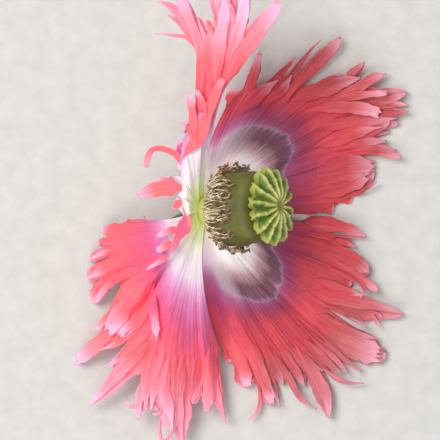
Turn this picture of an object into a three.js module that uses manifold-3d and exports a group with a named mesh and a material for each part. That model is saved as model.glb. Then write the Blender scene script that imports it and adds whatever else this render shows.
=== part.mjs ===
// A cut, fringed poppy flower lying on its side, seen from above.
// Millimetres, +Z up. +X runs the way the flower's mouth points, +Y across it.

import * as THREE from 'three';
import { mergeVertices } from 'three/addons/utils/BufferGeometryUtils.js';
import Module from 'manifold-3d';

// Driving dimensions

const AXIS_RISE = 32; // degrees that the flower's axis points up from the surface
const AXIS_TURN = 3; // degrees that it turns from +X towards +Y
const RECEPTACLE_HEIGHT = 13; // centre of the receptacle above the surface
const CLAW_RING = 3.2; // radius of the ring where the petals are attached
const PETAL_THICKNESS = 0.7;
const BLADE_ROWS = 5; // rows of faces from the claw to the slits
const LOBE_ROWS = 4; // rows of faces from the slits to the tips
const NARROWEST_STRAND = 0.4; // half width
const PLEAT = 0.22; // how far the pleats rise and fall at the slits
const SMOOTH_ROWS = 1; // rows from the claw that have no pleats
const NEIGHBOURS = 3; // strips on each side that even out a strip's height near the claw
const OVERLAP = 0.45; // how far a lobe's sides rise and fall, so that it lies over its neighbour like a tile
const LYING_DEPTH = 0.18; // what comes this near to the surface lies flat on it

const CAPSULE_FOOT = 1.6; // distances along the flower's axis, from the receptacle
const CAPSULE_TOP = 17;
const CAPSULE_RADIUS = 9.4;
const CAPSULE_SIDES = 28;

const RAYS = 14;
const DISC_HEIGHT = 19.2; // the rim's place along the axis
const DISC_RADIUS = 9.9;
const DISC_CROWN = 1.5; // how far the middle stands above the rim
const DISC_WALL = 0.9;
const RAY_RIDGE = 0.75;

const STAMENS = 44;
const STAMEN_RING = 2.95;
const FILAMENT_RADIUS = 0.26;
const ANTHER_RADIUS = 0.5;
const FILAMENT_CLEAR = 0.75; // from the capsule's wall to a filament's middle
const UPPER_REACH = 3.6; // how much further the filaments reach on the side that faces up

const STEM_RADIUS = 2;
const STEM_SIDES = 12;
const RECEPTACLE_RADIUS = 2.55;

const radians = THREE.MathUtils.degToRad;
const lerp = THREE.MathUtils.lerp;

// The flower's own directions: along its axis, across the picture, and towards the viewer

const rise = radians(AXIS_RISE);
const turn = radians(AXIS_TURN);
const receptacle = new THREE.Vector3(0, 0, RECEPTACLE_HEIGHT);
const along = new THREE.Vector3(Math.cos(rise) * Math.cos(turn), Math.cos(rise) * Math.sin(turn), Math.sin(rise));
const across = new THREE.Vector3(-Math.sin(turn), Math.cos(turn), 0);
const towards = new THREE.Vector3().crossVectors(along, across);

function aroundAxis(distance, radius, degrees) {
  const angle = radians(degrees);
  return receptacle.clone()
    .addScaledVector(along, distance)
    .addScaledVector(across, radius * Math.cos(angle))
    .addScaledVector(towards, radius * Math.sin(angle));
}

// The lobes of each petal, in order round the flower. Each line is one lobe:
// the root of its slits (x, y, z), its tip (x, y, z), how far it bows sideways,
// and how blunt it is, from -0.5 for a strand to 0.9 for a broad round end. A hooked
// lobe has one more number: how far it runs on before it turns, as a share of its reach.
// x and y are measured from the receptacle, z from the surface.

const petals = {
  petal_upper_right: {
    claw: [-7, -83], drop: 3, arch: 0, sway: [1.6, 0],
    lobes: [
      [5.5, 24.0, 2.2, 6.9, 28.9, 3.0, 0, 0.7],
      [10.4, 28.6, 1.6, 13.0, 37.7, 3.5, -0.6, 0.5],
      [16.6, 31.0, 1.0, 21.8, 36.5, 2.5, 0, -0.4],
      [19.4, 31.0, 0.8, 27.6, 40.6, 4.0, 0.8, -0.5],
      [22.2, 29.0, 0.6, 32.4, 41.3, 2.2, 0, 0.75],
      [26.8, 28.3, 0.6, 34.3, 32.4, 2.6, 0, 0.6],
      [31.0, 28.9, 0.5, 38.3, 35.4, 3.4, 0, -0.2],
      [32.5, 27.2, 0.5, 43.3, 32.6, 1.6, 0.6, 0.4],
      [34.0, 25.4, 0.6, 43.9, 28.2, 2.4, 0, 0.6],
      [38.0, 25.0, 0.6, 48.2, 27.6, 1.5, 0, 0.2],
      [38.4, 23.6, 0.5, 48.1, 25.1, 0.9, 0, 0.4],
      [36.5, 21.6, 0.5, 43.2, 22.6, 2.2, 0, 0.8],
      [39.2, 19.9, 0.35, 48.7, 22.3, 1.2, -0.5, 0],
      [38.0, 17.0, 0.35, 44.4, 16.9, 0.8, 0, 0.4],
      [35.5, 14.2, 0.35, 47.0, 12.8, 1.8, 0.4, 0.2],
      [35.0, 10.2, 0.35, 42.0, 10.2, 0.8, 0, 0.85],
      [34.0, 5.6, 0.35, 41.0, 6.8, 2.0, 0, -0.3],
      [27.4, 0.6, 0.7, 33.8, 3.4, 0.9, 0, 0.6],
    ],
  },
  petal_lower_right: {
    claw: [-97, -173], drop: 3, arch: 0, sway: [0, -2.4],
    lobes: [
      [30.5, -4.1, 0.5, 38.7, -6.5, 1.8, -0.6, 0.6],
      [32.0, -7.3, 0.5, 36.0, -8.9, 0.8, 0, 0.3],
      [32.4, -10.4, 0.35, 39.6, -15.7, 1.0, 0.6, 0.7],
      [32.8, -13.4, 0.35, 41.8, -19.4, 1.6, 0, 0.3],
      [31.8, -16.2, 0.35, 38.2, -19.4, 3.6, -0.8, 0],
      [32.0, -19.8, 0.35, 47.5, -24.7, 1.6, 0, 0.35],
      [32.6, -22.6, 0.4, 41.8, -28.0, 2.4, 0.6, 0],
      [29.6, -23.8, 0.4, 38.7, -28.6, 1.6, 0.4, -0.5],
      [31.6, -26.6, 0.35, 41.4, -31.4, 1.2, 0, 0],
      [29.5, -28.6, 0.35, 43.2, -35.6, 1.5, 0, 0.9],
      [22.6, -25.6, 0.4, 37.4, -38.6, 1.6, 0, -0.3],
      [21.6, -27.4, 0.4, 34.1, -39.4, 1.2, 0, 0],
      [23.8, -31.8, 0.35, 31.6, -40.0, 0.8, 0, 0.2],
      [22.6, -34.0, 0.4, 28.4, -41.4, 0.8, 0, 0.3],
      [21.2, -36.6, 0.4, 29.8, -49.6, 1.8, -0.8, 0.5],
      [19.2, -36.2, 0.4, 24.2, -43.4, 1.4, 0, 0.3],
      [17.2, -36.8, 0.4, 23.8, -48.4, 2.2, 0.4, -0.4],
      [15.2, -36.6, 0.4, 19.0, -43.0, 1.0, 0, 0.4],
      [12.0, -37.0, 0.5, 16.2, -46.8, 2.0, 0, 0.6],
      [8.6, -34.8, 0.8, 10.2, -42.0, 1.6, 0, 0.85],
      [4.8, -31.4, 0.8, 7.4, -37.6, 1.2, 0, 0.7],
    ],
  },
  petal_upper_left: {
    claw: [7, 83], drop: 1, arch: 4, sway: [2, 0],
    lobes: [
      [8.4, 36.0, 26.0, 17.5, 49.8, 30.0, 0.3, 0.7, 0.2],
      [6.6, 38.4, 27.0, 10.3, 51.8, 31.0, 0, 0.35, 0.35],
      [4.4, 39.6, 27.0, 5.7, 52.2, 33.0, 0, 0.35, 0.35],
      [2.4, 40.6, 26.5, 1.2, 51.4, 31.0, 0, 0.3, 0.35],
      [0.1, 38.6, 26.0, -6.6, 52.4, 32.0, 0, 0.4, 0.25],
      [-1.4, 36.0, 25.4, -10.8, 49.4, 29.0, 0, 0.25, 0.25],
      [-3.2, 22.0, 24.2, -4.9, 28.6, 26.0, 0.3, 0.3],
      [-4.7, 16.2, 23.6, -6.2, 21.2, 24.0, 0, 0.3],
      [-6.2, 12.4, 22.4, -13.8, 10.2, 16.0, 6, 0.6, 1.2],
      [-10.2, 6.9, 19.4, -13.4, 7.3, 17.6, 0, 0.4],
      [-10.8, 4.4, 18.6, -16.4, 3.2, 14.0, 0, 0.6],
    ],
  },
  petal_lower_left: {
    claw: [173, 97], drop: 1, arch: 6, sway: [-2, 0],
    lobes: [
      [2.6, -41.0, 4.0, 5.0, -51.2, 3.0, 0, 0.5],
      [0.4, -39.6, 5.0, 0.5, -48.0, 4.6, 0, 0.8],
      [-2.0, -40.4, 6.0, -3.1, -46.2, 5.4, 0, 0.5],
      [-4.6, -42.0, 6.6, -5.5, -56.0, 4.0, 0, 0.5],
      [-7.4, -42.8, 7.4, -8.6, -52.6, 6.5, 0, 0.4],
      [-10.2, -40.6, 7.8, -11.9, -47.3, 6.8, 0, 0.2],
      [-12.6, -38.8, 8.0, -14.6, -47.8, 5.6, 0, 0.2],
      [-14.6, -37.0, 8.0, -17.6, -49.8, 3.6, 0, 0.4],
      [-16.2, -33.8, 7.8, -27.8, -46.6, 3.0, 0, 0.6],
      [-16.6, -30.4, 7.4, -24.4, -38.2, 4.2, 0, 0.3],
      [-12.0, -22.4, 9.5, -25.7, -33.4, 5.2, -0.6, -0.4],
      [-13.4, -17.8, 9.6, -21.4, -30.2, 5.0, 0, 0.8],
      [-19.6, -23.2, 7.0, -31.4, -36.4, 1.2, 0, 0.6],
      [-21.2, -20.0, 6.8, -28.0, -28.8, 1.6, 0, 0.4],
      [-21.4, -16.4, 6.6, -27.6, -22.3, 0.4, 0.6, 0.4],
      [-21.8, -14.0, 6.4, -28.2, -18.0, 0.7, 0, 0.3],
      [-21.8, -11.8, 6.2, -28.6, -15.0, 0.9, 0, 0.5],
      [-21.4, -9.4, 6.0, -27.6, -11.6, 0.35, 0, 0.3],
      [-20.6, -7.0, 5.8, -24.7, -7.6, 1.8, 0, 0.5],
      [-18.8, -4.8, 5.8, -24.5, -4.3, 1.4, 0, 0.6],
      [-14.6, -2.8, 7.6, -18.8, -1.9, 3.8, 0, 0.8],
    ],
    // the margin that is folded over, with its teeth, above the blade
    fold: {
      claw: [112, 100], drop: 1, arch: 4, sway: [0, 0],
      lobes: [
        [-9.6, -11.6, 20.5, -13.2, -13.9, 19.4, 0, 0.4],
        [-8.4, -8.4, 20.8, -11.5, -9.6, 19.8, 0, 0.5],
        [-7.6, -5.6, 21.0, -11.3, -6.4, 20.0, 0, 0.5],
        [-5.4, -3.2, 20.6, -6.2, -2.6, 20.0, 0, 0.6],
      ],
    },
  },
};

// A petal is a fan of strips. Up to their slits neighbours share an edge, and past them
// each strip is a lobe of its own that narrows to its tip.

function evened(values, k) {
  const near = values.slice(Math.max(0, k - NEIGHBOURS), k + NEIGHBOURS + 1);
  return near.reduce((sum, value) => sum + value, 0) / near.length;
}

// How far a lobe's sides are apart in height, as a share of the most

function tiled(row) {
  const u = Math.max(0, row - BLADE_ROWS) / LOBE_ROWS;
  return Math.min(1, 4 * u) * (1 - u ** 3);
}

function lobeCentre(lobe, clawPoint, petal, share, row, even) {
  const [rootX, rootY, rootZ, tipX, tipY, tipZ, bow, , forward = 0.45] = lobe;
  const root = new THREE.Vector3(rootX, rootY, rootZ);
  const tip = new THREE.Vector3(tipX, tipY, tipZ);
  const outward = flat(root.clone().sub(clawPoint)).normalize();
  const sideways = new THREE.Vector3(-outward.y, outward.x, 0);
  if (row <= BLADE_ROWS) {
    const t = row / BLADE_ROWS;
    const belly = 4 * t * (1 - t);
    const point = clawPoint.clone().lerp(root, t).addScaledVector(sideways, belly * lerp(...petal.sway, share));
    const profile = (s, rootHeight) => (
      lerp(clawPoint.z, rootHeight, 1 - (1 - s) ** petal.drop) + petal.arch * 4 * s * (1 - s)
    );
    const shared = profile(Math.min(1, t * flat(root.clone().sub(clawPoint)).length() / even.reach), even.height);
    point.z = lerp(shared, profile(t, root.z), t ** 2);
    return point;
  }
  const u = (row - BLADE_ROWS) / LOBE_ROWS;
  const reach = tip.distanceTo(root);
  const bend = root.clone().addScaledVector(outward, reach * forward).addScaledVector(sideways, bow);
  bend.z = lerp(root.z, tip.z, 0.4);
  const point = new THREE.QuadraticBezierCurve3(root, bend, tip).getPoint(u);
  point.z += OVERLAP * tiled(row);
  return point;
}

function flat(vector) {
  return new THREE.Vector3(vector.x, vector.y, 0);
}

// A lobe's half width along its length, as a share of that at its root. Round ended lobes swell first.

function narrowing(u, blunt) {
  const swell = Math.max(0, blunt) * 0.6 * Math.sin(Math.PI * u) ** 2;
  return 1 - (1 - blunt) * u ** 1.1 - blunt * u ** 5 + swell;
}

function middle(a, b) {
  return a.clone().lerp(b, 0.5);
}

// The edge of a lobe past its slit: its half width turns with the centre line and narrows

function lobeEdge(centres, rootEdge, row, blunt) {
  const u = (row - BLADE_ROWS) / LOBE_ROWS;
  const rootWay = flat(centres[BLADE_ROWS].clone().sub(centres[BLADE_ROWS - 1])).normalize();
  const way = flat(centres[row].clone().sub(centres[row - 1])).normalize();
  const offset = rootEdge.clone().sub(centres[BLADE_ROWS]);
  const rootSide = new THREE.Vector3(-rootWay.y, rootWay.x, 0);
  const side = new THREE.Vector3(-way.y, way.x, 0);
  const wide = offset.dot(rootSide);
  const half = Math.max(Math.abs(wide) * narrowing(u, blunt), NARROWEST_STRAND) * Math.sign(wide);
  return centres[row].clone()
    .addScaledVector(side, half)
    .addScaledVector(way, offset.dot(rootWay) * (1 - u) ** 2)
    .add(new THREE.Vector3(0, 0, offset.z * (1 - u) + Math.sign(wide) * OVERLAP * tiled(row)));
}

function petalSheet(petal) {
  const rows = BLADE_ROWS + LOBE_ROWS;
  const count = petal.lobes.length;
  const [clawStart, clawEnd] = petal.claw;
  const points = [];
  const triangles = [];
  const keep = (point) => points.push(point) - 1;

  const shares = petal.lobes.map((_, k) => (k + 0.5) / count);
  const claws = shares.map((share) => aroundAxis(0, CLAW_RING, lerp(clawStart, clawEnd, share)));
  const reaches = petal.lobes.map(([x, y], k) => Math.hypot(x - claws[k].x, y - claws[k].y));
  const heights = petal.lobes.map(([, , z]) => z);
  const centres = petal.lobes.map((lobe, k) => {
    const even = { reach: evened(reaches, k), height: evened(heights, k) };
    return Array.from({ length: rows + 1 }, (_, row) => lobeCentre(lobe, claws[k], petal, shares[k], row, even));
  });

  // the edges between neighbours, and the two outer edges, up to the slits
  const edges = Array.from({ length: count + 1 }, (_, j) => (
    Array.from({ length: BLADE_ROWS + 1 }, (_, row) => {
      const pleated = Math.max(0, row - SMOOTH_ROWS) / (BLADE_ROWS - SMOOTH_ROWS);
      const pleat = (j % 2 ? PLEAT : -PLEAT) * pleated ** 2;
      if (j > 0 && j < count) {
        const point = middle(centres[j - 1][row], centres[j][row]);
        point.z += pleat;
        return point;
      }
      const own = centres[j ? count - 1 : 0][row];
      const neighbour = centres[j ? count - 2 : 1][row];
      return own.clone().multiplyScalar(1.5).addScaledVector(neighbour, -0.5);
    })
  ));
  const edgeIndex = edges.map((line) => line.map(keep));

  centres.forEach((line, k) => {
    const blunt = petal.lobes[k][7];
    const centreIndex = line.map(keep);
    const side = (j) => line.map((_, row) => {
      if (row <= BLADE_ROWS) return edgeIndex[j][row];
      if (row === rows) return centreIndex[rows];
      return keep(lobeEdge(line, edges[j][BLADE_ROWS], row, blunt));
    });
    const left = side(k);
    const right = side(k + 1);
    for (let row = 0; row < rows - 1; row++) {
      triangles.push([left[row], left[row + 1], centreIndex[row + 1]]);
      triangles.push([left[row], centreIndex[row + 1], centreIndex[row]]);
      triangles.push([centreIndex[row], centreIndex[row + 1], right[row + 1]]);
      triangles.push([centreIndex[row], right[row + 1], right[row]]);
    }
    triangles.push([left[rows - 1], centreIndex[rows], centreIndex[rows - 1]]);
    triangles.push([centreIndex[rows - 1], centreIndex[rows], right[rows - 1]]);
  });
  return thicken(points, triangles);
}

// A closed solid round a sheet: both faces are split into triangles alike

function thicken(points, triangles) {
  const normals = points.map(() => new THREE.Vector3());
  const faceNormal = new THREE.Vector3();
  const triangle = new THREE.Triangle();
  let upward = 0;
  triangles.forEach(([a, b, c]) => {
    triangle.set(points[a], points[b], points[c]);
    triangle.getNormal(faceNormal).multiplyScalar(triangle.getArea());
    upward += faceNormal.z;
    [a, b, c].forEach((index) => normals[index].add(faceNormal));
  });
  const sign = Math.sign(upward);
  const lift = (side) => points.map((point, i) => {
    const moved = point.clone().addScaledVector(normals[i].clone().normalize(), side * sign * PETAL_THICKNESS / 2);
    const lowest = side > 0 ? PETAL_THICKNESS : 0;
    moved.z = moved.z < lowest + LYING_DEPTH ? lowest : moved.z;
    return moved;
  });
  const vertices = [...lift(1), ...lift(-1)];
  const under = points.length;
  const faces = upward > 0 ? triangles : triangles.map(([a, b, c]) => [a, c, b]);
  const indices = [];
  const edgeUse = new Set(faces.flatMap(([a, b, c]) => [`${a} ${b}`, `${b} ${c}`, `${c} ${a}`]));
  faces.forEach(([a, b, c]) => {
    indices.push(a, b, c, under + a, under + c, under + b);
    [[a, b], [b, c], [c, a]].forEach(([from, to]) => {
      if (edgeUse.has(`${to} ${from}`)) return;
      indices.push(to, from, under + from, to, under + from, under + to);
    });
  });
  return solidGeometry(vertices, indices);
}

function solidGeometry(vertices, indices) {
  const geometry = new THREE.BufferGeometry();
  geometry.setAttribute('position', new THREE.Float32BufferAttribute(vertices.flatMap((v) => v.toArray()), 3));
  geometry.setIndex(indices);
  return geometry;
}

// Joining solids

const wasm = await Module();
wasm.setup();

function toManifold(geometry) {
  const bare = geometry.clone();
  bare.deleteAttribute('normal');
  bare.deleteAttribute('uv');
  const merged = mergeVertices(bare, 1e-4);
  return new wasm.Manifold(new wasm.Mesh({
    numProp: 3,
    vertProperties: new Float32Array(merged.attributes.position.array),
    triVerts: new Uint32Array(merged.index.array),
  }));
}

function fromManifold(solid) {
  const mesh = solid.getMesh();
  const geometry = new THREE.BufferGeometry();
  geometry.setAttribute('position', new THREE.BufferAttribute(mesh.vertProperties, 3));
  geometry.setIndex(new THREE.BufferAttribute(mesh.triVerts, 1));
  return geometry;
}

function joined(geometries) {
  return fromManifold(geometries.map(toManifold).reduce((whole, piece) => whole.add(piece)));
}

// The capsule, its stigma disc and the stamens are made round the Y axis and then turned to the flower's axis

function capsuleRadius(distance) {
  const t = THREE.MathUtils.clamp((distance - 3) / (CAPSULE_TOP - 3), 0, 1);
  const barrel = Math.sin(Math.PI * t ** 0.85) ** 0.62;
  return 2.2 + (CAPSULE_RADIUS - 2.2) * barrel + 3.2 * THREE.MathUtils.smoothstep(t, 0.6, 1);
}

function capsuleGeometry() {
  const rows = 12;
  const profile = [new THREE.Vector2(0, CAPSULE_FOOT), new THREE.Vector2(2.2, CAPSULE_FOOT)];
  for (let row = 0; row <= rows; row++) {
    const distance = lerp(3, CAPSULE_TOP, row / rows);
    profile.push(new THREE.Vector2(Math.min(capsuleRadius(distance), CAPSULE_RADIUS), distance));
  }
  profile.push(new THREE.Vector2(0, CAPSULE_TOP));
  return new THREE.LatheGeometry(profile, CAPSULE_SIDES);
}

// The disc: a shallow dome whose rim is cut into one lobe for each ray, with a raised ridge along each lobe

function discPoint(share, degrees, ridge, notch) {
  const rim = DISC_RADIUS * (1 - 0.16 * notch);
  const radius = share * rim;
  const dome = DISC_CROWN * (1 - share ** 2) - 0.9 * share ** 5;
  const height = DISC_HEIGHT + dome + RAY_RIDGE * ridge * Math.min(1, 4 * share) - 0.25 * notch * share;
  const angle = radians(degrees);
  return new THREE.Vector3(radius * Math.cos(angle), height, radius * Math.sin(angle));
}

function discGeometry() {
  const shares = [0.16, 0.36, 0.58, 0.8, 1];
  const perRay = 6;
  const ridges = [1, 0.1, 0, 0, 0, 0.1];
  const notches = [0, 0.12, 0.5, 1, 0.5, 0.12];
  const ridgeWidth = [0, 0.2, 0.36, 0.5, 0.64, 0.8];
  const columns = RAYS * perRay;
  const points = [new THREE.Vector3(0, DISC_HEIGHT + DISC_CROWN, 0)];
  const ring = (share, drop) => {
    const start = points.length;
    for (let column = 0; column < columns; column++) {
      const step = column % perRay;
      const degrees = 360 / RAYS * (Math.floor(column / perRay) + ridgeWidth[step]);
      const point = discPoint(share, degrees, ridges[step] * (share < 1 ? 1 : 0.35), notches[step]);
      point.y -= drop;
      points.push(point);
    }
    return start;
  };
  const rings = shares.map((share) => ring(share, 0));
  rings.push(ring(1, DISC_WALL * 0.6), ring(0.7, DISC_WALL + 0.3));
  const bottom = points.push(new THREE.Vector3(0, CAPSULE_TOP + 0.3, 0)) - 1;
  for (let i = rings[rings.length - 1]; i < bottom; i++) points[i].y = Math.max(points[i].y, CAPSULE_TOP + 0.3);
  const indices = [];
  for (let column = 0; column < columns; column++) {
    const next = (column + 1) % columns;
    indices.push(0, rings[0] + next, rings[0] + column);
    for (let i = 0; i < rings.length - 1; i++) {
      const [a, b] = [rings[i], rings[i + 1]];
      indices.push(a + column, a + next, b + next, a + column, b + next, b + column);
    }
    const last = rings[rings.length - 1];
    indices.push(bottom, last + column, last + next);
  }
  return solidGeometry(points, indices);
}

// A tube of changing radius along a list of points, closed at both ends

function taperedTube(path, radii, sides) {
  const points = [];
  const indices = [];
  const reference = new THREE.Vector3(0.3, 0.2, 0.93).normalize();
  path.forEach((centre, i) => {
    const way = path[Math.min(i + 1, path.length - 1)].clone().sub(path[Math.max(i - 1, 0)]).normalize();
    const first = new THREE.Vector3().crossVectors(way, reference).normalize();
    const second = new THREE.Vector3().crossVectors(way, first);
    for (let side = 0; side < sides; side++) {
      const angle = 2 * Math.PI * side / sides;
      points.push(centre.clone()
        .addScaledVector(first, radii[i] * Math.cos(angle))
        .addScaledVector(second, radii[i] * Math.sin(angle)));
    }
  });
  for (let i = 0; i < path.length - 1; i++) {
    for (let side = 0; side < sides; side++) {
      const [a, b] = [i * sides + side, i * sides + (side + 1) % sides];
      indices.push(a, b, b + sides, a, b + sides, a + sides);
    }
  }
  const last = (path.length - 1) * sides;
  for (let side = 1; side < sides - 1; side++) {
    indices.push(0, side + 1, side);
    indices.push(last, last + side, last + side + 1);
  }
  return solidGeometry(points, indices);
}

// Withered stamens: each filament leaves the collar, follows the capsule's wall and ends in a shrunken anther.
// Those on the side that faces up reach further along the wall than those below.

const headTurn = new THREE.Quaternion().setFromUnitVectors(new THREE.Vector3(0, 1, 0), along);
const facingUp = towards.clone().applyQuaternion(headTurn.clone().invert());
const FACING_UP = Math.atan2(facingUp.z, facingUp.x);

function besideCapsule(distance, clear, angle) {
  const step = 0.05;
  const slope = (capsuleRadius(distance + step) - capsuleRadius(distance - step)) / (2 * step);
  const tilt = Math.atan(slope);
  const radius = capsuleRadius(distance) + clear * Math.cos(tilt);
  return new THREE.Vector3(radius * Math.cos(angle), distance - clear * Math.sin(tilt), radius * Math.sin(angle));
}

function stamensGeometry() {
  const random = seeded(7);
  const inner = STAMEN_RING - 0.35;
  const outer = STAMEN_RING + 0.35;
  const collar = new THREE.LatheGeometry([
    new THREE.Vector2(inner, 0.5),
    new THREE.Vector2(outer, 0.5),
    new THREE.Vector2(outer, 1.5),
    new THREE.Vector2(inner, 1.5),
    new THREE.Vector2(inner, 0.5),
  ], 24);
  const pieces = [collar];
  for (let i = 0; i < STAMENS; i++) {
    const start = radians(360 * i / STAMENS);
    const lean = radians(22 * (random() - 0.5));
    const reach = lerp(6.2, 9, random()) + UPPER_REACH * (0.5 + 0.5 * Math.cos(start - FACING_UP));
    const layer = i % 2 ? 0.9 : 0.1;
    const path = [new THREE.Vector3(STAMEN_RING * Math.cos(start), 1, STAMEN_RING * Math.sin(start))];
    const shares = [0.18, 0.36, 0.62, 0.88, 0.94, 1];
    shares.forEach((share) => {
      const clear = FILAMENT_CLEAR + layer * share + (share > 0.9 ? ANTHER_RADIUS - FILAMENT_RADIUS : 0);
      path.push(besideCapsule(lerp(3, reach, share), clear, start + lean * share));
    });
    const radii = [1, 1, 1, 1, 1].map((share) => share * FILAMENT_RADIUS).concat(ANTHER_RADIUS, FILAMENT_RADIUS);
    pieces.push(taperedTube(path, radii, 4));
  }
  return joined(pieces);
}

function seeded(seed) {
  let state = seed;
  return () => {
    state = (state * 16807) % 2147483647;
    return state / 2147483647;
  };
}

// The cut stem with the receptacle at its head

function stemGeometry() {
  const head = aroundAxis(0.9, 0, 0);
  const path = new THREE.CatmullRomCurve3([
    aroundAxis(-2.2, 0, 0),
    new THREE.Vector3(-8.4, -3.2, 7.4),
    new THREE.Vector3(-14.6, -6.6, 3.2),
    new THREE.Vector3(-18.6, -9.8, STEM_RADIUS + 0.1),
    new THREE.Vector3(-21.6, -13.6, STEM_RADIUS + 0.05),
  ]);
  const stations = path.getPoints(12);
  const stem = taperedTube(stations, stations.map(() => STEM_RADIUS), STEM_SIDES);
  const throat = [aroundAxis(-3.6, 0, 0), aroundAxis(-2.2, 0, 0), aroundAxis(-1.0, 0, 0), head];
  const receptacleShares = [0.66, 0.9, 1, 0.94];
  const cup = taperedTube(throat, receptacleShares.map((share) => share * RECEPTACLE_RADIUS), STEM_SIDES);
  return joined([stem, cup]);
}

// Colours and finishes, read by eye

function finish(colour, roughness) {
  return new THREE.MeshStandardMaterial({ color: colour, roughness, metalness: 0, side: THREE.DoubleSide });
}

const coral = finish(0xe8606a, 0.6);
const shadedCoral = finish(0xc84a55, 0.6);
const bloomGreen = finish(0x71803f, 0.7);
const rayGreen = finish(0xa9c44e, 0.6);
const straw = finish(0xb79c72, 0.85);
const stemGreen = finish(0x3f6a3a, 0.6);

function named(name, geometry, material) {
  const mesh = new THREE.Mesh(geometry, material);
  mesh.name = name;
  return mesh;
}

const flower = new THREE.Group();

const colours = {
  petal_upper_right: shadedCoral,
  petal_lower_right: shadedCoral,
  petal_upper_left: coral,
  petal_lower_left: coral,
};
for (const [name, petal] of Object.entries(petals)) {
  const sheet = petalSheet(petal);
  const geometry = petal.fold ? joined([sheet, petalSheet(petal.fold)]) : sheet;
  flower.add(named(name, geometry, colours[name]));
}

const head = new THREE.Group();
head.position.copy(receptacle);
head.quaternion.copy(headTurn);
head.add(named('capsule', capsuleGeometry(), bloomGreen));
head.add(named('stigma_disc', discGeometry(), rayGreen));
head.add(named('stamens', stamensGeometry(), straw));
flower.add(head);
flower.add(named('stem', stemGeometry(), stemGreen));

// The origin is on the surface, under the middle of the flower

flower.updateMatrixWorld(true);
const box = new THREE.Box3().setFromObject(flower, true);
const centre = box.getCenter(new THREE.Vector3());
flower.position.set(-centre.x, -centre.y, -box.min.z);

export default flower;
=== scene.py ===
# %% [markdown]
# # A fringed poppy flower
# This is a cut garden poppy that lies on its side on a table and is seen from above. Four thin
# petals with deep fringes stand round a green seed capsule, which carries a ribbed stigma disc
# with fourteen rays. The solid frame gives every part its place, and this script dresses it:
# each solid part is replaced by a finer piece with the same form.

# %% Load the frame
import math

import bpy
import numpy as np
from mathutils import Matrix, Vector


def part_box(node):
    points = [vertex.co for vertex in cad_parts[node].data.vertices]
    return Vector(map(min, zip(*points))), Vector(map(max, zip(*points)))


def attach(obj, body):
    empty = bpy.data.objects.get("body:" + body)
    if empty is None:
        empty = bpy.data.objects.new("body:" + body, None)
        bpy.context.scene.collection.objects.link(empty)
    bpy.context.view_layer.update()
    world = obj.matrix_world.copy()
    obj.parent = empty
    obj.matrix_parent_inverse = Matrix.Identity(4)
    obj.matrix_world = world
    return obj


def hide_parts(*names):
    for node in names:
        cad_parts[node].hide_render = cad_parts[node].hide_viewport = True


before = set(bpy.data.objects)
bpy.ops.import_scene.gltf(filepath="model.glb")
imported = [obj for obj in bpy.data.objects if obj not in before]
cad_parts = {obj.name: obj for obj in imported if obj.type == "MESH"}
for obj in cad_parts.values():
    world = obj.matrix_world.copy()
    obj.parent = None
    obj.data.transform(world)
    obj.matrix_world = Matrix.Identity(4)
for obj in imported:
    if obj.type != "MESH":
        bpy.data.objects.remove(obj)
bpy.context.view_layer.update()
print("parts in the frame:", sorted(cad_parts))

# %% [markdown]
# ## Scale and directions
# Points on the flower were read off a picture seen from straight above, in picture steps from
# its top left corner. The picture is 440 steps wide and one step is 0.24 mm. The receptacle,
# where everything is attached, is the centre of the flower, 13 mm above the table, and all
# millimetres are counted from the spot of the table right below it. The flower's axis runs to the
# right and rises 32 degrees. `along`, `across` and `towards` are its own three directions.

# %% Picture steps to metres
MM = 0.001
STEP = 0.24
PICTURE_STEPS = 440
CENTRE_STEP = (205.0, 210.0)
RECEPTACLE = np.array([0.0, 0.0, 13.0])
AXIS_RISE = math.radians(32)
AXIS_TURN = math.radians(3)

along = np.array([
    math.cos(AXIS_RISE) * math.cos(AXIS_TURN),
    math.cos(AXIS_RISE) * math.sin(AXIS_TURN),
    math.sin(AXIS_RISE),
])
across = np.array([-math.sin(AXIS_TURN), math.cos(AXIS_TURN), 0.0])
towards = np.cross(along, across)


def from_picture(x, y, height):
    """A point in millimetres, from picture steps and a height above the table."""
    return np.array([(x - CENTRE_STEP[0]) * STEP, (CENTRE_STEP[1] - y) * STEP, height])


def around_axis(distance, radius, degrees):
    """Points at a distance along the flower's axis and on a circle round it."""
    angle = np.radians(np.asarray(degrees, float))[..., None]
    distance = np.asarray(distance, float)[..., None]
    radius = np.asarray(radius, float)[..., None]
    ring = across * np.cos(angle) + towards * np.sin(angle)
    return RECEPTACLE + along * distance + ring * radius


print("axis:", np.round(along, 3))

# %% [markdown]
# ## Curves through points
# Petal edges, stamens and the stem are smooth curves through a few measured points. The
# Catmull-Rom rule passes through every point, so the measured points stay where they are. Soft
# changes of any other number, such as a width along a petal, go through `ease`.


# %% Smooth curves and soft changes
def catmull_rom(a, b, c, d, t):
    """The place at the share t of the way from b to c, on a curve past a, b, c and d."""
    return 0.5 * (2 * b + (c - a) * t + (2 * a - 5 * b + 4 * c - d) * t**2 + (3 * b - 3 * c + d - a) * t**3)


def smooth_curve(points, count):
    """`count` rows along a curve through the given rows of numbers."""
    points = np.asarray(points, float)
    padded = np.vstack([2 * points[0] - points[1], points, 2 * points[-1] - points[-2]])
    place = np.linspace(0, len(points) - 1, count)
    part = np.minimum(place.astype(int), len(points) - 2)
    around = (padded[part + i] for i in range(4))
    return catmull_rom(*around, (place - part)[:, None])


def ease(x, low, high):
    """0 below low, 1 above high, with a soft change between."""
    t = np.clip((np.asarray(x, float) - low) / (high - low), 0, 1)
    return t * t * (3 - 2 * t)


print("halfway of an ease:", float(ease(0.5, 0, 1)))

# %% [markdown]
# ## The flower's place
# The seed capsule is the part with the plainest form: a barrel turned round the flower's axis.
# Its outline is written here once. The middle of its box, compared with the solid's box, tells
# where the receptacle stands in the frame, and every other piece is shifted by the same amount.

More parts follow.
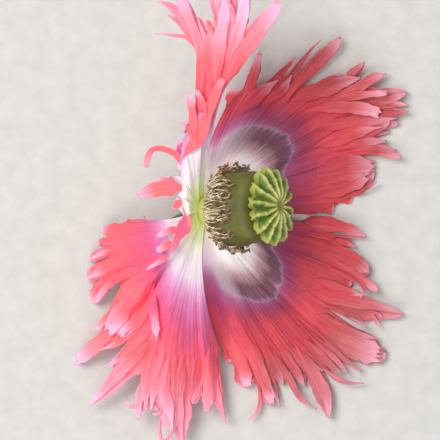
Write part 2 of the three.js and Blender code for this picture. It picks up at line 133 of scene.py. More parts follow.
# %% Where the flower stands
CAPSULE_FOOT = 1.6
CAPSULE_NECK = 3.0
CAPSULE_TOP = 17.0
NECK_RADIUS = 2.2
CAPSULE_RADIUS = 9.4
CAPSULE_ROWS = 64
CAPSULE_SIDES = 168


def capsule_radius(distance):
    """The barrel's radius at a distance along the axis."""
    t = np.clip((distance - CAPSULE_NECK) / (CAPSULE_TOP - CAPSULE_NECK), 0, 1)
    barrel = NECK_RADIUS + (CAPSULE_RADIUS - NECK_RADIUS) * np.sin(np.pi * t**0.85) ** 0.62
    shoulder = 3.2 * ease(t, 0.6, 1)
    return np.minimum(barrel + shoulder, CAPSULE_RADIUS)


capsule_degrees = np.arange(CAPSULE_SIDES) * 360 / CAPSULE_SIDES
capsule_rise = np.r_[CAPSULE_FOOT, np.linspace(CAPSULE_NECK, CAPSULE_TOP, CAPSULE_ROWS)]
capsule_rings = np.r_[NECK_RADIUS, capsule_radius(capsule_rise[1:])][:, None]
outline = around_axis(capsule_rise[:, None], capsule_rings, capsule_degrees).reshape(-1, 3)
low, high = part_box("capsule")
SHIFT = np.array((low + high) / 2) / MM - (outline.min(0) + outline.max(0)) / 2
SHIFT[2] = 0.0
print("the receptacle is at", np.round(SHIFT + RECEPTACLE, 2), "mm")

# %% [markdown]
# ## A sheet with two faces
# A petal is 0.2 mm thick. A single face would vanish at its edge and have no back, so every
# sheet gets an upper and a lower face, offset along the surface's own direction, and a rim that
# closes them. The class collects strips of points, and numbers for each point that the finish
# reads later: the colour zone, how near the tip it is, how bright its strip is, how much it is
# on the lit side of the flower, and whether it is on the back.

# %% Numbers and faces
NUMBERS = ("zone", "tip", "tone", "light")
ABOVE_TABLE = 0.01
LEAST_GAP = 0.05


def keep_number(mesh, label, values):
    """Writes one number for each point of a mesh, for the finish to read."""
    layer = mesh.attributes.new(label, "FLOAT", "POINT")
    layer.data.foreach_set("value", np.asarray(values, np.float32))


def smooth_mesh(name, points, faces):
    """A smoothly shaded mesh from points in millimetres."""
    made = bpy.data.meshes.new(name)
    made.from_pydata(((points + SHIFT) * MM).tolist(), [], faces)
    made.polygons.foreach_set("use_smooth", np.ones(len(faces), bool))
    return made


def facing(points, quads):
    """The direction in which each face looks, with a length of twice its area."""
    a, b, c, d = (points[quads[:, i]] for i in range(4))
    return np.cross(c - a, d - b)


print("sheet numbers:", NUMBERS)


# %% The sheet builder
class Sheet:
    """Grids of points that become one closed mesh."""

    def __init__(self, thickness, light):
        self.thickness = thickness
        self.light = light
        self.points = []
        self.numbers = []
        self.strips = []
        self.quads = {}
        self.count = 0

    def add_points(self, points, zone, tip, tone, strip):
        """Keeps points with their numbers, and returns where they are in the list."""
        shape = points.shape[:-1]
        values = (zone, tip, tone, self.lit(points))
        spread = [np.broadcast_to(np.asarray(value, float), shape).reshape(-1) for value in values]
        self.points.append(points.reshape(-1, 3))
        self.numbers.append(np.stack(spread, 1))
        self.strips.append(np.asarray(strip, float).reshape(-1, 2))
        start = self.count
        self.count += self.points[-1].shape[0]
        return np.arange(start, self.count).reshape(shape)

    def lit(self, points):
        """How much a point belongs to the lit side of the flower, by its direction from the centre."""
        near, far, most = self.light
        turned = np.degrees(np.arctan2(points[..., 1], points[..., 0]))
        return most * ease(np.abs(turned), near, far)

    def add_grid(self, index, group):
        """Joins a grid of kept points with four-sided faces. Grids that share points are one group."""
        corners = [index[:-1, :-1], index[:-1, 1:], index[1:, 1:], index[1:, :-1]]
        self.quads.setdefault(group, []).append(np.stack([c.reshape(-1) for c in corners], 1))

    def face_up(self, points, grids):
        """Turns a group of grids so that its upper face looks up."""
        quads = np.vstack(grids)
        up = facing(points, quads)[:, 2].sum()
        return quads if up > 0 else quads[:, ::-1]

    def two_sides(self, points, quads):
        """The points of the upper face and, after them, those of the lower face."""
        looks = facing(points, quads)
        normal = np.zeros_like(points)
        for i in range(4):
            np.add.at(normal, quads[:, i], looks)
        normal /= np.maximum(np.linalg.norm(normal, axis=1)[:, None], 1e-9)
        upper = points + normal * self.thickness / 2
        lower = points - normal * self.thickness / 2
        lower[:, 2] = np.maximum(lower[:, 2], ABOVE_TABLE)
        upper[:, 2] = np.maximum(upper[:, 2], lower[:, 2] + LEAST_GAP)
        return np.vstack([upper, lower])

    def rim(self, quads):
        """Faces that close the edge: an edge is at the rim if no face runs along it the other way."""
        edges = np.vstack([quads[:, [i, (i + 1) % 4]] for i in range(4)])
        there = edges[:, 0].astype(np.int64) * self.count + edges[:, 1]
        back = edges[:, 1].astype(np.int64) * self.count + edges[:, 0]
        upper = edges[~np.isin(there, back)]
        lower = upper + self.count
        return np.stack([upper[:, 1], upper[:, 0], lower[:, 0], lower[:, 1]], 1)

    def mesh(self, name, floor):
        """The closed mesh. The middle of the sheet stays above the floor."""
        points = np.vstack(self.points)
        quads = np.vstack([self.face_up(points, grids) for grids in self.quads.values()])
        points[:, 2] = np.maximum(points[:, 2], floor)
        faces = np.vstack([quads, quads[:, ::-1] + self.count, self.rim(quads)])
        made = smooth_mesh(name, self.two_sides(points, quads), faces.tolist())
        for label, values in zip(NUMBERS, np.vstack(self.numbers).T):
            keep_number(made, label, np.tile(values, 2))
        keep_number(made, "back", np.repeat([0.0, 1.0], self.count))
        strip = np.tile(np.vstack(self.strips), (2, 1))
        corners = np.empty(len(made.loops), np.int32)
        made.loops.foreach_get("vertex_index", corners)
        strip_map = made.uv_layers.new(name="strip")
        strip_map.data.foreach_set("uv", strip[corners].reshape(-1).astype(np.float32))
        made.update()
        return made


print("the sheet builder is ready")

# %% [markdown]
# ## A petal as a fan of strips
# A poppy petal has no midrib: it is a fan, and everything on it runs outward from the narrow
# claw. Each strip of the fan starts on the ring where the petals are attached and ends in one
# lobe of the fringe. The measured points are the tips of the lobes and the bottoms of the slits
# between them. Up to the slits the strips are one surface, and past them each lobe narrows to
# its own tip. Building it as a fan gives the veins their direction too.

# %% The blade of a petal
CLAW_RING = 3.2
BLADE_ROWS = 34
LOBE_ROWS = 24
COLUMNS = 12
NEIGHBOURS = 3


def evened(values):
    """Each value's mean with its neighbours, so that the blade is smooth near the claw."""
    values = np.asarray(values, float)
    spans = [(max(0, k - NEIGHBOURS), k + NEIGHBOURS + 1) for k in range(len(values))]
    return np.array([values[low:high].mean() for low, high in spans])


def edge_lines(petal, slits):
    """The lines from the claw to the bottom of each slit."""
    count = len(slits)
    share = np.linspace(0, 1, count)
    claw_start, claw_end = petal["claw"]
    claws = around_axis(0, CLAW_RING, claw_start + (claw_end - claw_start) * share)
    flat = (slits - claws) * [1, 1, 0]
    reach = np.linalg.norm(flat, axis=1)
    outward = flat / reach[:, None]
    sideways = np.stack([-outward[:, 1], outward[:, 0], np.zeros(count)], 1)
    t = np.linspace(0, 1, BLADE_ROWS + 1)[:, None]
    belly = 4 * t * (1 - t)
    sway = np.interp(share, np.linspace(0, 1, len(petal["sway"])), petal["sway"])
    lines = claws + (slits - claws) * t[..., None] + sideways * (belly * sway)[..., None]

    def profile(s, height):
        """Heights on the way from the claws to the given height, over the petal's arch."""
        fallen = 1 - (1 - s) ** petal["drop"]
        return claws[:, 2] + (height - claws[:, 2]) * fallen + petal["arch"] * 4 * s * (1 - s)

    shared = profile(np.minimum(1, t * reach / evened(reach)), evened(slits[:, 2]))
    own = profile(t, slits[:, 2])
    lines[..., 2] = shared + (own - shared) * t**2
    return lines, outward


def between(lines):
    """Points across the fan, smooth near the claw and straight from slit to slit at the end."""
    count = lines.shape[1] - 1
    before = 2 * lines[:, :1] - lines[:, 1:2]
    after = 2 * lines[:, -1:] - lines[:, -2:-1]
    padded = np.concatenate([before, lines, after], 1)
    place = np.arange(count * COLUMNS + 1) / COLUMNS
    part = np.minimum(place.astype(int), count - 1)
    f = (place - part)[None, :, None]
    a, b, c, d = (padded[:, part + i] for i in range(4))
    smooth = catmull_rom(a, b, c, d, f)
    straight = b + (c - b) * f
    end = np.linspace(0, 1, lines.shape[0])[:, None, None] ** 3
    return smooth + (straight - smooth) * end, place


print("rows of a petal:", BLADE_ROWS + LOBE_ROWS)

# %% [markdown]
# ## Waves, pleats and ragged edges
# Real petals were crumpled in the bud. They keep fine pleats along the strips and small waves
# across them, and every lobe is cupped and turned a little, with uneven sides. These go into the
# mesh, so that light and shadow show them from every side. Each is a sum of a few sine waves
# with random starts, and all random numbers come from a fixed seed.

# %% The form of a lobe
TURN = 6.28
LEAST_HALF = 0.16


def directions(centre):
    """The way along a line of points and the way to its side, both level."""
    way = np.gradient(centre, axis=0) * [1, 1, 0]
    way /= np.maximum(np.linalg.norm(way, axis=1)[:, None], 1e-6)
    side = np.stack([-way[:, 1], way[:, 0], np.zeros(len(way))], 1)
    return way, side


def rippled(start, u, *waves):
    """A number with small waves along u added to it. Each wave is (height, speed, phase)."""
    return sum((height * np.sin(speed * u + phase) for height, speed, phase in waves), start)


def narrowing(u, blunt):
    """A lobe's half width along its length, as a share of that at its root."""
    strand = max(0, -blunt) / 0.5
    broad = max(0, blunt)
    body = 1 - 0.75 * strand * (1 - np.exp(-u / 0.12))
    end = (1 - u ** (1.3 + 4.5 * broad)) ** (0.8 - 0.3 * broad)
    notch = 1 - 0.16 * ease(u, 0, 0.12) * (1 - ease(u, 0.12, 0.5))
    return body * end * notch * (1 + 0.22 * broad * np.sin(np.pi * u) ** 2)


def petal_pale(petal, points):
    """How far the pale pink of the tips reaches into a petal, by the distance from the receptacle."""
    low, high, most = petal["pale"]
    return most * ease(np.hypot(points[..., 0], points[..., 1]), low, high)


print("half width of a pointed lobe halfway:", round(float(narrowing(0.5, 0.0)), 2))


# %% Lobes with cupped, ragged sides
def add_lobe(sheet, petal, base, row, outward, rng, look):
    """One lobe past its slits. `base` is the row of kept points that it grows from."""
    base_points, base_index, strip_place = base
    tip = from_picture(*row[:3])
    blunt, bow = row[3:5]
    left, right = base_points[0], base_points[-1]
    root = (left + right) / 2
    half_base = (right - left) / 2
    sideways = np.array([-outward[1], outward[0], 0.0])
    reach = np.linalg.norm(tip - root)
    bend = root + outward * reach * 0.45 + sideways * bow
    bend[2] = root[2] + (tip[2] - root[2]) * 0.4
    u = np.linspace(0, 1, LOBE_ROWS + 1)
    v = np.linspace(-1, 1, COLUMNS + 1)
    t = u[:, None]
    centre = root * (1 - t) ** 2 + bend * 2 * t * (1 - t) + tip * t**2
    way, side = directions(centre)
    wide, shear = half_base @ side[0], half_base @ way[0]
    phase = rng.uniform(0, TURN, 6)
    ragged = rippled(0, u, (0.09, 5, phase[0]), (0.07, 14, phase[1]), (0.05, 31, phase[2]))
    half = abs(wide) * narrowing(u, blunt) * (1 + ragged * ease(u, 0.05, 0.3))
    half = np.maximum(half, LEAST_HALF * (1.15 - u)) * np.sign(wide)
    points = centre[:, None] + side[:, None] * (half[:, None] * v)[..., None]
    points += way[:, None] * (shear * (1 - t) ** 2 * v)[..., None]

    # The heights across the lobe: a cup, a tilt over its neighbour, a flutter and fine pleats.
    cup = rng.uniform(-0.10, 0.22) * ease(u, 0, 0.4) * np.abs(half)
    overlap = petal["overlap"] * np.minimum(1, 4 * u) * (1 - u**3)
    tilt = overlap + rng.uniform(-0.15, 0.15) * np.abs(half) * ease(u, 0, 0.5)
    flutter = 0.1 * np.sin(9 * u + phase[3]) * ease(u, 0.1, 0.5) * np.abs(half)
    lift = half_base[2] * (1 - t) * v
    points[..., 2] += lift + tilt[:, None] * (1 + np.sign(wide) * v) + cup[:, None] * (v**2 - 0.3)
    points[..., 2] += flutter[:, None] * v * v * np.sign(v)
    pleats = 0.05 * np.sin(4.5 * np.pi * v + phase[4])
    points[..., 2] += pleats[None] * ease(u, 0.0, 0.3)[:, None] * (1 - t)

    # The numbers for the finish, which go on from those of the blade.
    # The tone carries the blade's painted crease shade into the lobe's root, and paints one side of the lobe
    # a little lighter and the other a little darker, a painted shading across it.
    tone = look["tone"][None] * (1 - ease(u, 0.2, 0.8))[:, None] + 0.05 * v[None] * rng.choice([-1, 1])
    strip = np.stack(np.broadcast_arrays(strip_place[None, :], look["along"] + reach * t), -1)
    zone = petal["zone"](points)
    tips = np.maximum(ease(u, 0.45, 1.1)[:, None] + 0 * v, petal_pale(petal, points))
    kept = sheet.add_points(points[1:], zone[1:], tips[1:], tone[1:], strip[1:])
    sheet.add_grid(np.vstack([base_index[None], kept]), look["group"])


print("a lobe is", LOBE_ROWS, "by", COLUMNS, "faces")


# %% The whole fan
def blade_tones(lobes, place, t, rng):
    """How bright each strip of the blade is, with painted shade in the creases between some strips."""
    tones = rng.uniform(-0.07, 0.07, lobes)
    strip_tone = np.interp(place, np.arange(lobes) + 0.5, tones)
    gap = np.abs(place - np.round(place))
    depth = rng.uniform(0.2, 1.0, lobes + 1)[np.round(place).astype(int)]
    # A painted shadow line where the strips meet, as between overlapping lobes.
    crease_shade = np.exp(-((gap / 0.1) ** 2)) * depth
    return strip_tone[None] * ease(t, 0.35, 1) - 0.16 * crease_shade[None] * ease(t, 0.5, 1)


def add_fan(sheet, petal, rng, group):
    """The whole fan of a petal: its blade, then each lobe."""
    slits = np.array([from_picture(*row[-3:]) for row in petal["lobes"]])
    slits = np.vstack([from_picture(*petal["start"]), slits])
    lines, outward = edge_lines(petal, slits)
    blade, place = between(lines)
    t = np.linspace(0, 1, BLADE_ROWS + 1)[:, None]
    wave = 0.16 * np.sin(2 * np.pi * place * 0.5) + 0.07 * np.sin(2 * np.pi * place * 1.9 + 1)
    slow = 0.25 * np.sin(0.9 * place[None] + 5 * t) * ease(t, 0.25, 0.6) * (1 - ease(t, 0.8, 1))
    fade = ease(t, 0.12, 0.8)
    blade[..., 2] += (wave[None] * fade * (1 - 0.7 * ease(t, 0.9, 1)) + slow) * petal["waves"]
    tone = blade_tones(len(petal["lobes"]), place, t, rng)
    distance = np.linalg.norm(blade - blade[:1], axis=-1)
    strip = np.stack([np.broadcast_to(place[None], distance.shape), distance], -1)
    index = sheet.add_points(blade, petal["zone"](blade), petal_pale(petal, blade), tone, strip)
    sheet.add_grid(index, group)
    for k, row in enumerate(petal["lobes"]):
        columns = slice(k * COLUMNS, (k + 1) * COLUMNS + 1)
        base = (blade[-1, columns], index[-1, columns], place[columns])
        look = {"tone": tone[-1, columns], "along": distance[-1, columns].mean(), "group": group}
        way = outward[k] + outward[k + 1]
        add_lobe(sheet, petal, base, row, way / np.linalg.norm(way), rng, look)


print("a strip of the blade is", BLADE_ROWS, "by", COLUMNS, "faces")

# %% [markdown]
# ## Straps that lie over the blade
# The fringe of this poppy has several layers: long lobes lie across others, some are folded
# back, and some are curled strands. Each is a strap along a few measured points, with its own
# widths. Its root dives under the blade, so that it seems to grow out of it, and the rest
# follows the blade's height at a small lift, so that it casts a soft shadow on it. A blunt end
# is torn into small teeth, as petal ends are.

# %% Facts and helpers of a strap
STRAP_ROWS = 36
DIVE = 0.9
LEAST_STRAP_HALF = 0.09


def strap(path, widths, lift=0.4, zone=None, pale=(0.55, 0.9), tone=0.0):
    """The facts of one strap. Places and widths are picture steps, and the lift is in millimetres."""
    return {"path": path, "widths": widths, "lift": lift, "zone": zone, "pale": pale, "tone": tone}


def surface_height(cloud, spots):
    """The height of the blade below each spot."""
    height = np.empty(len(spots))
    for k, spot in enumerate(spots):
        away = ((cloud[:, :2] - spot[:2]) ** 2).sum(1)
        height[k] = cloud[np.argpartition(away, 4)[:4], 2].max()
    return height


def softened(grid, reach):
    """The mean of each row with its neighbours."""
    padded = np.concatenate([grid[:1].repeat(reach, 0), grid, grid[-1:].repeat(reach, 0)])
    return np.mean([padded[k:k + len(grid)] for k in range(2 * reach + 1)], axis=0)


def torn(u, half, rng, first, depth):
    """How far each column of points is pulled back from a strap's end, which leaves small teeth."""
    teeth = depth * rng.uniform(0, 1, COLUMNS + 1)
    teeth[[0, -1]] = depth * rng.uniform(0.7, 1.1, 2)
    width = np.abs(half)[int(0.8 * len(half))]
    return ease(u, first, 1)[:, None] * teeth * width


print("a strap is", STRAP_ROWS - 1, "by", COLUMNS, "faces")


# %% Straps on a petal
def add_strap(sheet, petal, cloud, facts, rng, group):
    """Adds one strap to a petal's sheet. `cloud` holds the points of the petal's fan."""
    stands_free = len(facts["path"][0]) == 3
    stations = [from_picture(*(row if stands_free else (*row, 0))) for row in facts["path"]]
    centre = smooth_curve(stations, STRAP_ROWS)
    half = smooth_curve(np.array(facts["widths"], float)[:, None] * STEP / 2, STRAP_ROWS)[:, 0]
    u = np.linspace(0, 1, STRAP_ROWS)
    v = np.linspace(-1, 1, COLUMNS + 1)
    blunt = facts["widths"][-1] / max(facts["widths"])
    kept_end = 0.1 + 0.75 * ease(blunt, 0.25, 0.65)
    end = kept_end + (1 - kept_end) * np.clip((1 - u) / (0.26 - 0.14 * kept_end), 0, 1) ** 0.7
    phase = rng.uniform(0, TURN, 5)
    root = 0.12 + 0.88 * ease(u, 0, 0.4)
    ragged = rippled(1, u, (0.09, 9, phase[0]), (0.08, 21, phase[1]), (0.04, 47, phase[4]))
    half = np.maximum(half * end * ragged * root, LEAST_STRAP_HALF)
    way, side = directions(centre)
    points = centre[:, None] + side[:, None] * (half[:, None] * v)[..., None]
    points -= way[:, None] * torn(u, half, rng, 0.82, 0.9 * kept_end)[..., None]

    # The heights: the root dives under the blade, and the rest is cupped, pleated and crumpled.
    if not stands_free:
        below = surface_height(cloud, points.reshape(-1, 3)).reshape(points.shape[:2])
        below = softened(softened(below, 3), 3)
        rise = -DIVE + (facts["lift"] + DIVE) * ease(u, 0, 0.3) + 0.8 * facts["lift"] * u**2
        points[..., 2] = below + rise[:, None]
        points[..., 2] -= 0.75 * (1 - ease(u, 0.1, 0.6))[:, None] * v**2
    bend = rng.uniform(-0.1, 0.24)
    points[..., 2] += (bend * half * ease(u, 0.3, 0.6))[:, None] * (v**2 - 0.35)
    pleats = 0.055 * np.sin(3.2 * np.pi * v + phase[2]) + 0.035 * np.sin(5.3 * np.pi * v + phase[3])
    crumple = 0.6 + 0.4 * np.sin(17 * u[:, None] + 4 * v + phase[4])
    points[..., 2] += pleats[None] * crumple * ease(u, 0.15, 0.5)[:, None]

    # The numbers for the finish. Folded straps have their own zones, and others take the petal's.
    if facts["zone"] is None:
        zones = petal["zone"](points)
    else:
        zones = np.interp(u, [0, 1], facts["zone"])[:, None] + 0 * v
    first, most = facts["pale"]
    tips = np.maximum(most * ease(u, first, 1.02)[:, None], petal_pale(petal, points))
    # One side of each strap is painted a little lighter and the other a little darker, a painted shading
    # across it, and its edges are made a little paler.
    tone = facts["tone"] + rng.uniform(-0.04, 0.04) + 0.03 * v[None] * rng.choice([-1, 1])
    tone = tone + 0.04 * np.abs(v[None]) ** 3 * ease(u, 0.2, 0.6)[:, None]
    length = np.r_[0, np.cumsum(np.linalg.norm(np.diff(centre, axis=0), axis=1))]
    across_strap = 40 + 7 * rng.random() + half[:, None] * v[None] * 1.1
    strip = np.stack(np.broadcast_arrays(across_strap, length[:, None]), -1)
    index = sheet.add_points(points, zones, tips, tone, strip)
    sheet.add_grid(index, group)


print("a strap's root dives", DIVE, "mm under the blade")

# %% [markdown]
# ## The measured fringes
# Each row of a table is one lobe: its tip, how blunt it is (from -0.5 for a strand to 0.9 for a
# broad round end), how far it bows sideways, and the bottom of the slit after it. Tips and slits
# are picture steps with a height in millimetres. `start` is the bottom of the first slit, and
# `claw` tells from where to where the petal is attached on its ring, in degrees. `drop`, `arch`
# and `sway` bend the strips on their way, `overlap` is how much a lobe is tilted over the next,
# and `waves` is how strong the blade's waves are. `pale` tells between which distances the tips'
# pink comes in, and `light` between which directions the lit side comes in, each with its
# strength. `floor` is the least height of the sheet. The zone table gives, for directions round
# the flower, where the pale blotch and its purple halo end, in millimetres from the receptacle.

# %% Colour zones
CORAL_WIDTH = 18


def colour_zones(table):
    """A function that gives the colour zone of points: under 1 the blotch, up to 2 its halo, then coral."""
    angles, blotch, halo = (np.array(column, float) for column in zip(*table))

    def zone(points):
        x, y = points[..., 0], points[..., 1]
        turned = np.degrees(np.arctan2(y, x))
        turned = np.where(turned < angles.min() - 40, turned + 360, turned)
        far = np.hypot(x, y)
        inner = np.interp(turned, angles, blotch)
        outer = np.interp(turned, angles, halo)
        in_halo = 1 + (far - inner) / (outer - inner)
        in_coral = 2 + np.minimum(1, (far - outer) / CORAL_WIDTH)
        return np.where(far < inner, far / inner, np.where(far < outer, in_halo, in_coral))

    return zone


print("the coral zone deepens over", CORAL_WIDTH, "mm")

# %% Upper right petal
upper_right = {
    "claw": (-7, -83), "drop": 3, "arch": 0, "sway": (1.6, 0), "overlap": 0.3, "waves": 1.0,
    "pale": (36, 58, 0.25), "light": (56, 88, 0.5), "floor": 0.12, "seed": 11,
    "start": (223, 113, 2.4),
    "lobes": [
        (234, 89, 3.0, 0.8, 0, 241, 91, 1.9),
        (260, 51, 3.5, 0.45, -0.6, 253, 89, 1.5),
        (296, 57, 2.5, -0.5, -1.3, 284, 77, 1.2),
        (321, 40, 4.0, -0.5, 0.2, 292, 78, 1.0),
        (298, 72, 1.6, -0.4, 0, 283, 93, 0.9),
        (341, 37, 2.6, 0.95, 0.2, 287, 103, 0.8),
        (339, 73, 2.0, -0.4, 0, 331, 84, 0.7),
        (346, 75, 2.4, 0.6, 0, 348, 80, 0.7),
        (365, 62, 3.2, 0.4, 0, 354, 80, 0.7),
        (359, 78, 1.6, 0.5, 0, 357, 82, 0.7),
        (387, 74, 1.8, 0.75, 0.5, 343, 95, 0.6),
        (388, 94, 2.6, 0.7, 0, 345, 105, 0.5),
        (407, 92, 1.6, 0.6, 0.5, 358, 107, 0.5),
        (406, 105, 1.2, 0.6, 0, 371, 110, 0.5),
        (408, 112, 2.0, 0.1, -0.3, 372, 119, 0.5),
        (399, 124, 1.2, 0.85, 0, 336, 145, 0.4),
        (391, 132, 0.9, 0.8, 0, 345, 146, 0.4),
        (387, 141, 1.3, 0.55, 0.3, 327, 151, 0.4),
        (396, 150, 0.9, 0.1, 0, 357, 155, 0.4),
        (402, 158, 1.9, 0.7, 0.2, 328, 164, 0.4),
        (375, 172, 0.9, 0.75, 0, 345, 191, 0.4),
        (377, 182, 2.1, -0.3, -0.4, 356, 195, 0.4),
        (352, 200, 0.6, 0.8, 0, 338, 204, 0.5),
        (334, 209, 0.8, 0.8, 0, 317, 213, 0.7),
        (313, 215, 0.9, 0.8, 0, 297, 214, 1.0),
    ],
    "zone": colour_zones([
        (-10, 15, 26), (0, 15, 26), (15, 18, 31.5), (28, 21.3, 33.5), (33, 25.2, 34), (41, 26.5, 34),
        (52, 25.3, 33), (67, 21.4, 28), (76, 17.3, 23.5), (81, 14.6, 21), (95, 14, 20),
    ]),
}
print("upper right petal:", len(upper_right["lobes"]), "lobes")

# %% Lower right petal
lower_right = {
    "claw": (-97, -173), "drop": 3, "arch": 0, "sway": (0, -2.4), "overlap": 0.3, "waves": 1.0,
    "pale": (34, 56, 0.4), "light": (66, 84, 1.0), "floor": 0.12, "seed": 12,
    "start": (298, 221, 0.9),
    "lobes": [
        (366, 237, 1.9, 0.4, -1.6, 339, 237, 0.5),
        (355, 247, 0.9, 0.3, 0, 344, 245, 0.5),
        (369, 274, 1.1, 0.8, -1.2, 353, 270, 0.4),
        (379, 292, 1.9, 0.5, 0, 343, 273, 0.4),
        (352, 284, 1.2, 0.2, 0, 345, 289, 0.4),
        (404, 314, 1.7, 0.3, -0.5, 322, 301, 0.4),
        (365, 327, 2.2, -0.4, 1.0, 319, 305, 0.4),
        (377, 338, 1.4, 0.1, 0, 362, 333, 0.5),
        (386, 357, 1.6, 0.9, 0, 346, 350, 0.5),
        (359, 360, 1.2, 0.2, 0, 336, 350, 0.4),
        (361, 372, 1.9, 0.0, 0, 291, 313, 0.4),
        (348, 373, 1.3, 0.2, 0, 308, 334, 0.4),
        (342, 374, 1.5, 0.3, 0, 329, 370, 0.5),
        (364, 383, 1.4, -0.5, -1.4, 326, 369, 0.5),
        (323, 371, 1.0, 0.2, 0, 318, 366, 0.5),
        (331, 391, 1.3, 0.1, 0, 324, 385, 0.6),
        (329, 418, 1.9, 0.45, -0.4, 302, 371, 0.4),
        (305, 386, 1.3, 0.5, 0, 289, 365, 0.4),
        (317, 409, 2.0, -0.3, -1.4, 284, 377, 0.5),
        (284, 385, 1.1, 0.5, 0, 272, 366, 0.4),
        (280, 406, 1.5, -0.5, 0.5, 271, 384, 0.8),
        (271, 405, 2.0, 0.7, 0, 259, 386, 0.8),
        (250, 420, 1.4, -0.2, 1.6, 253, 381, 0.6),
        (246, 387, 1.8, 0.5, 0, 232, 363, 0.7),
        (231, 362, 1.1, 0.2, 0, 221, 346, 1.0),
    ],
    "zone": colour_zones([
        (-95, 13, 23), (-90, 13.5, 23.5), (-83, 14.5, 24), (-77.5, 18.9, 26), (-68, 22.7, 30.5),
        (-59, 25.7, 32.5), (-52, 27, 33), (-43, 25.3, 31), (-36, 22.7, 30), (-30, 18.5, 28.5),
        (-12, 15.5, 27.5), (0, 15, 25),
    ]),
}
print("lower right petal:", len(lower_right["lobes"]), "lobes")

# %% Lower left petal
lower_left = {
    "claw": (173, 87), "drop": 1, "arch": 6, "sway": (-2, -1, 0, 1.5), "overlap": 0.3, "waves": 1.1,
    "pale": (34, 52, 0.6), "light": (-2, -1, 1.0), "floor": 0.4, "seed": 13,
    "start": (219, 346, 4.2),
    "lobes": [
        (226, 424, 3.0, 0.1, 0, 213, 397, 4.5),
        (207, 412, 4.7, 0.8, 0, 203, 378, 5.0),
        (193, 404, 5.4, 0.5, 0, 193, 391, 5.6),
        (181, 442, 4.1, 0.5, 0, 174, 402, 6.6),
        (173, 431, 6.3, 0.3, 0, 160, 410, 7.0),
        (156, 410, 6.8, 0.2, 0, 154, 402, 7.2),
        (150, 410, 6.4, 0.5, 0, 148, 402, 7.3),
        (144, 411, 6.0, 0.4, 0, 142, 403, 7.3),
        (139, 419, 5.1, 0.4, 0.4, 142, 373, 7.6),
        (89, 406, 3.2, -0.25, -2.0, 113, 371, 6.0),
        (108, 366, 4.4, 0.4, 0, 134, 333, 6.8),
        (98, 350, 5.2, -0.4, -1.0, 154, 290, 9.0),
        (117, 337, 6.0, 0.7, 0, 125, 318, 7.2),
        (75, 363, 1.4, 0.6, 0, 103, 327, 5.2),
        (94, 331, 2.6, -0.3, 1.2, 122, 283, 6.8),
        (94, 304, 1.6, 0.5, -0.6, 100, 278, 6.0),
        (90, 284, 1.2, 0.4, 0, 101, 273, 6.2),
        (87, 279, 1.0, 0.5, 0, 111, 256, 6.3),
        (89, 260, 0.9, 0.4, 0, 106, 246, 6.1),
        (103, 243, 1.8, 0.6, 0, 110, 236, 5.9),
        (102, 229, 2.2, 0.7, 0, 126, 222, 6.0),
        (127, 218, 5.0, 0.8, 0, 140, 219, 6.4),
        (142, 218, 6.6, 0.8, 0, 155, 224, 7.4),
        (158, 226, 8.4, 0.6, 0, 166, 229, 9.0),
    ],
    "zone": colour_zones([
        (175, 9, 14.5), (190, 9.5, 15.5), (200, 9.9, 16), (215, 10.5, 17), (229, 12.4, 18.5), (235, 14.4, 21),
        (242, 16, 26), (250, 17.4, 28.5), (258, 18.2, 30), (267, 18, 33), (275, 18, 32),
    ]),
}
print("lower left petal:", len(lower_left["lobes"]), "lobes")

# %% Upper left petal
upper_left = {
    "claw": (7, 93), "drop": 1, "arch": 4, "sway": (2, 0.8, 0, 0), "overlap": 0.35, "waves": 1.2,
    "pale": (30, 54, 0.6), "light": (-2, -1, 1.0), "floor": 0.4, "seed": 14,
    "start": (226, 86, 24.8),
    "lobes": [
        (279, 3, 30.0, 0.9, -0.1, 242, 46, 26.6),
        (248, -6, 31.0, 0.8, 0, 234, 38, 27.0),
        (229, -7, 32.4, 0.8, 0, 218, 20, 27.6),
        (210, -4, 31.0, 0.5, 0, 213, 31, 27.0),
        (206, 22, 28.0, 0.4, 0, 206, 33, 26.6),
        (198, 19, 28.0, 0.3, 0, 200, 34, 26.4),
        (176, -8, 32.0, 0.75, 0, 198, 42, 26.0),
        (159, 4, 29.0, 0.5, 0, 199, 46, 25.8),
        (168, 17, 27.6, 0.2, 0, 200, 50, 25.6),
        (178, 28, 27.0, 0.2, 0, 201, 54, 25.4),
        (156, 35, 27.0, -0.5, 0.8, 202, 63, 25.0),
        (205, 73, 24.6, 0.7, 0, 206, 94, 24.4),
        (203, 101, 24.3, 0.7, 0, 200, 118, 24.2),
        (188, 122, 24.0, 0.8, 0, 185, 138, 23.6),
        (180, 143, 22.9, 0.8, 0, 180, 158, 22.2),
        (179, 163, 21.4, 0.8, 0, 182, 177, 20.6),
        (160, 186, 16.4, -0.3, 0, 181, 187, 20.0),
        (137, 197, 14.0, 0.9, 0, 178, 195, 19.2),
        (176, 197, 18.8, 0.4, 0, 182, 198, 19.8),
        (179, 209, 18.6, 0.4, 0, 184, 217, 18.8),
    ],
    "zone": colour_zones([
        (70, 15, 24), (80, 15.5, 25), (85, 17.2, 25), (90, 18, 22), (98, 17, 21), (107, 14, 19),
        (118, 12.5, 15), (128, 11.6, 12.6), (140, 10.4, 10.9), (150, 9.2, 9.6), (160, 7.8, 8.2),
        (170, 6.8, 7.1), (190, 6.2, 6.5),
    ]),
}
print("upper left petal:", len(upper_left["lobes"]), "lobes")

# %% [markdown]
# ## Finishes written as sums
# A finish is a small recipe of colours and numbers. `Wire` lets the recipe be written as plain
# sums: adding or multiplying two wires adds a Math node. `Finish.node` makes every other node,
# with its settings first and then the values or wires of its sockets.


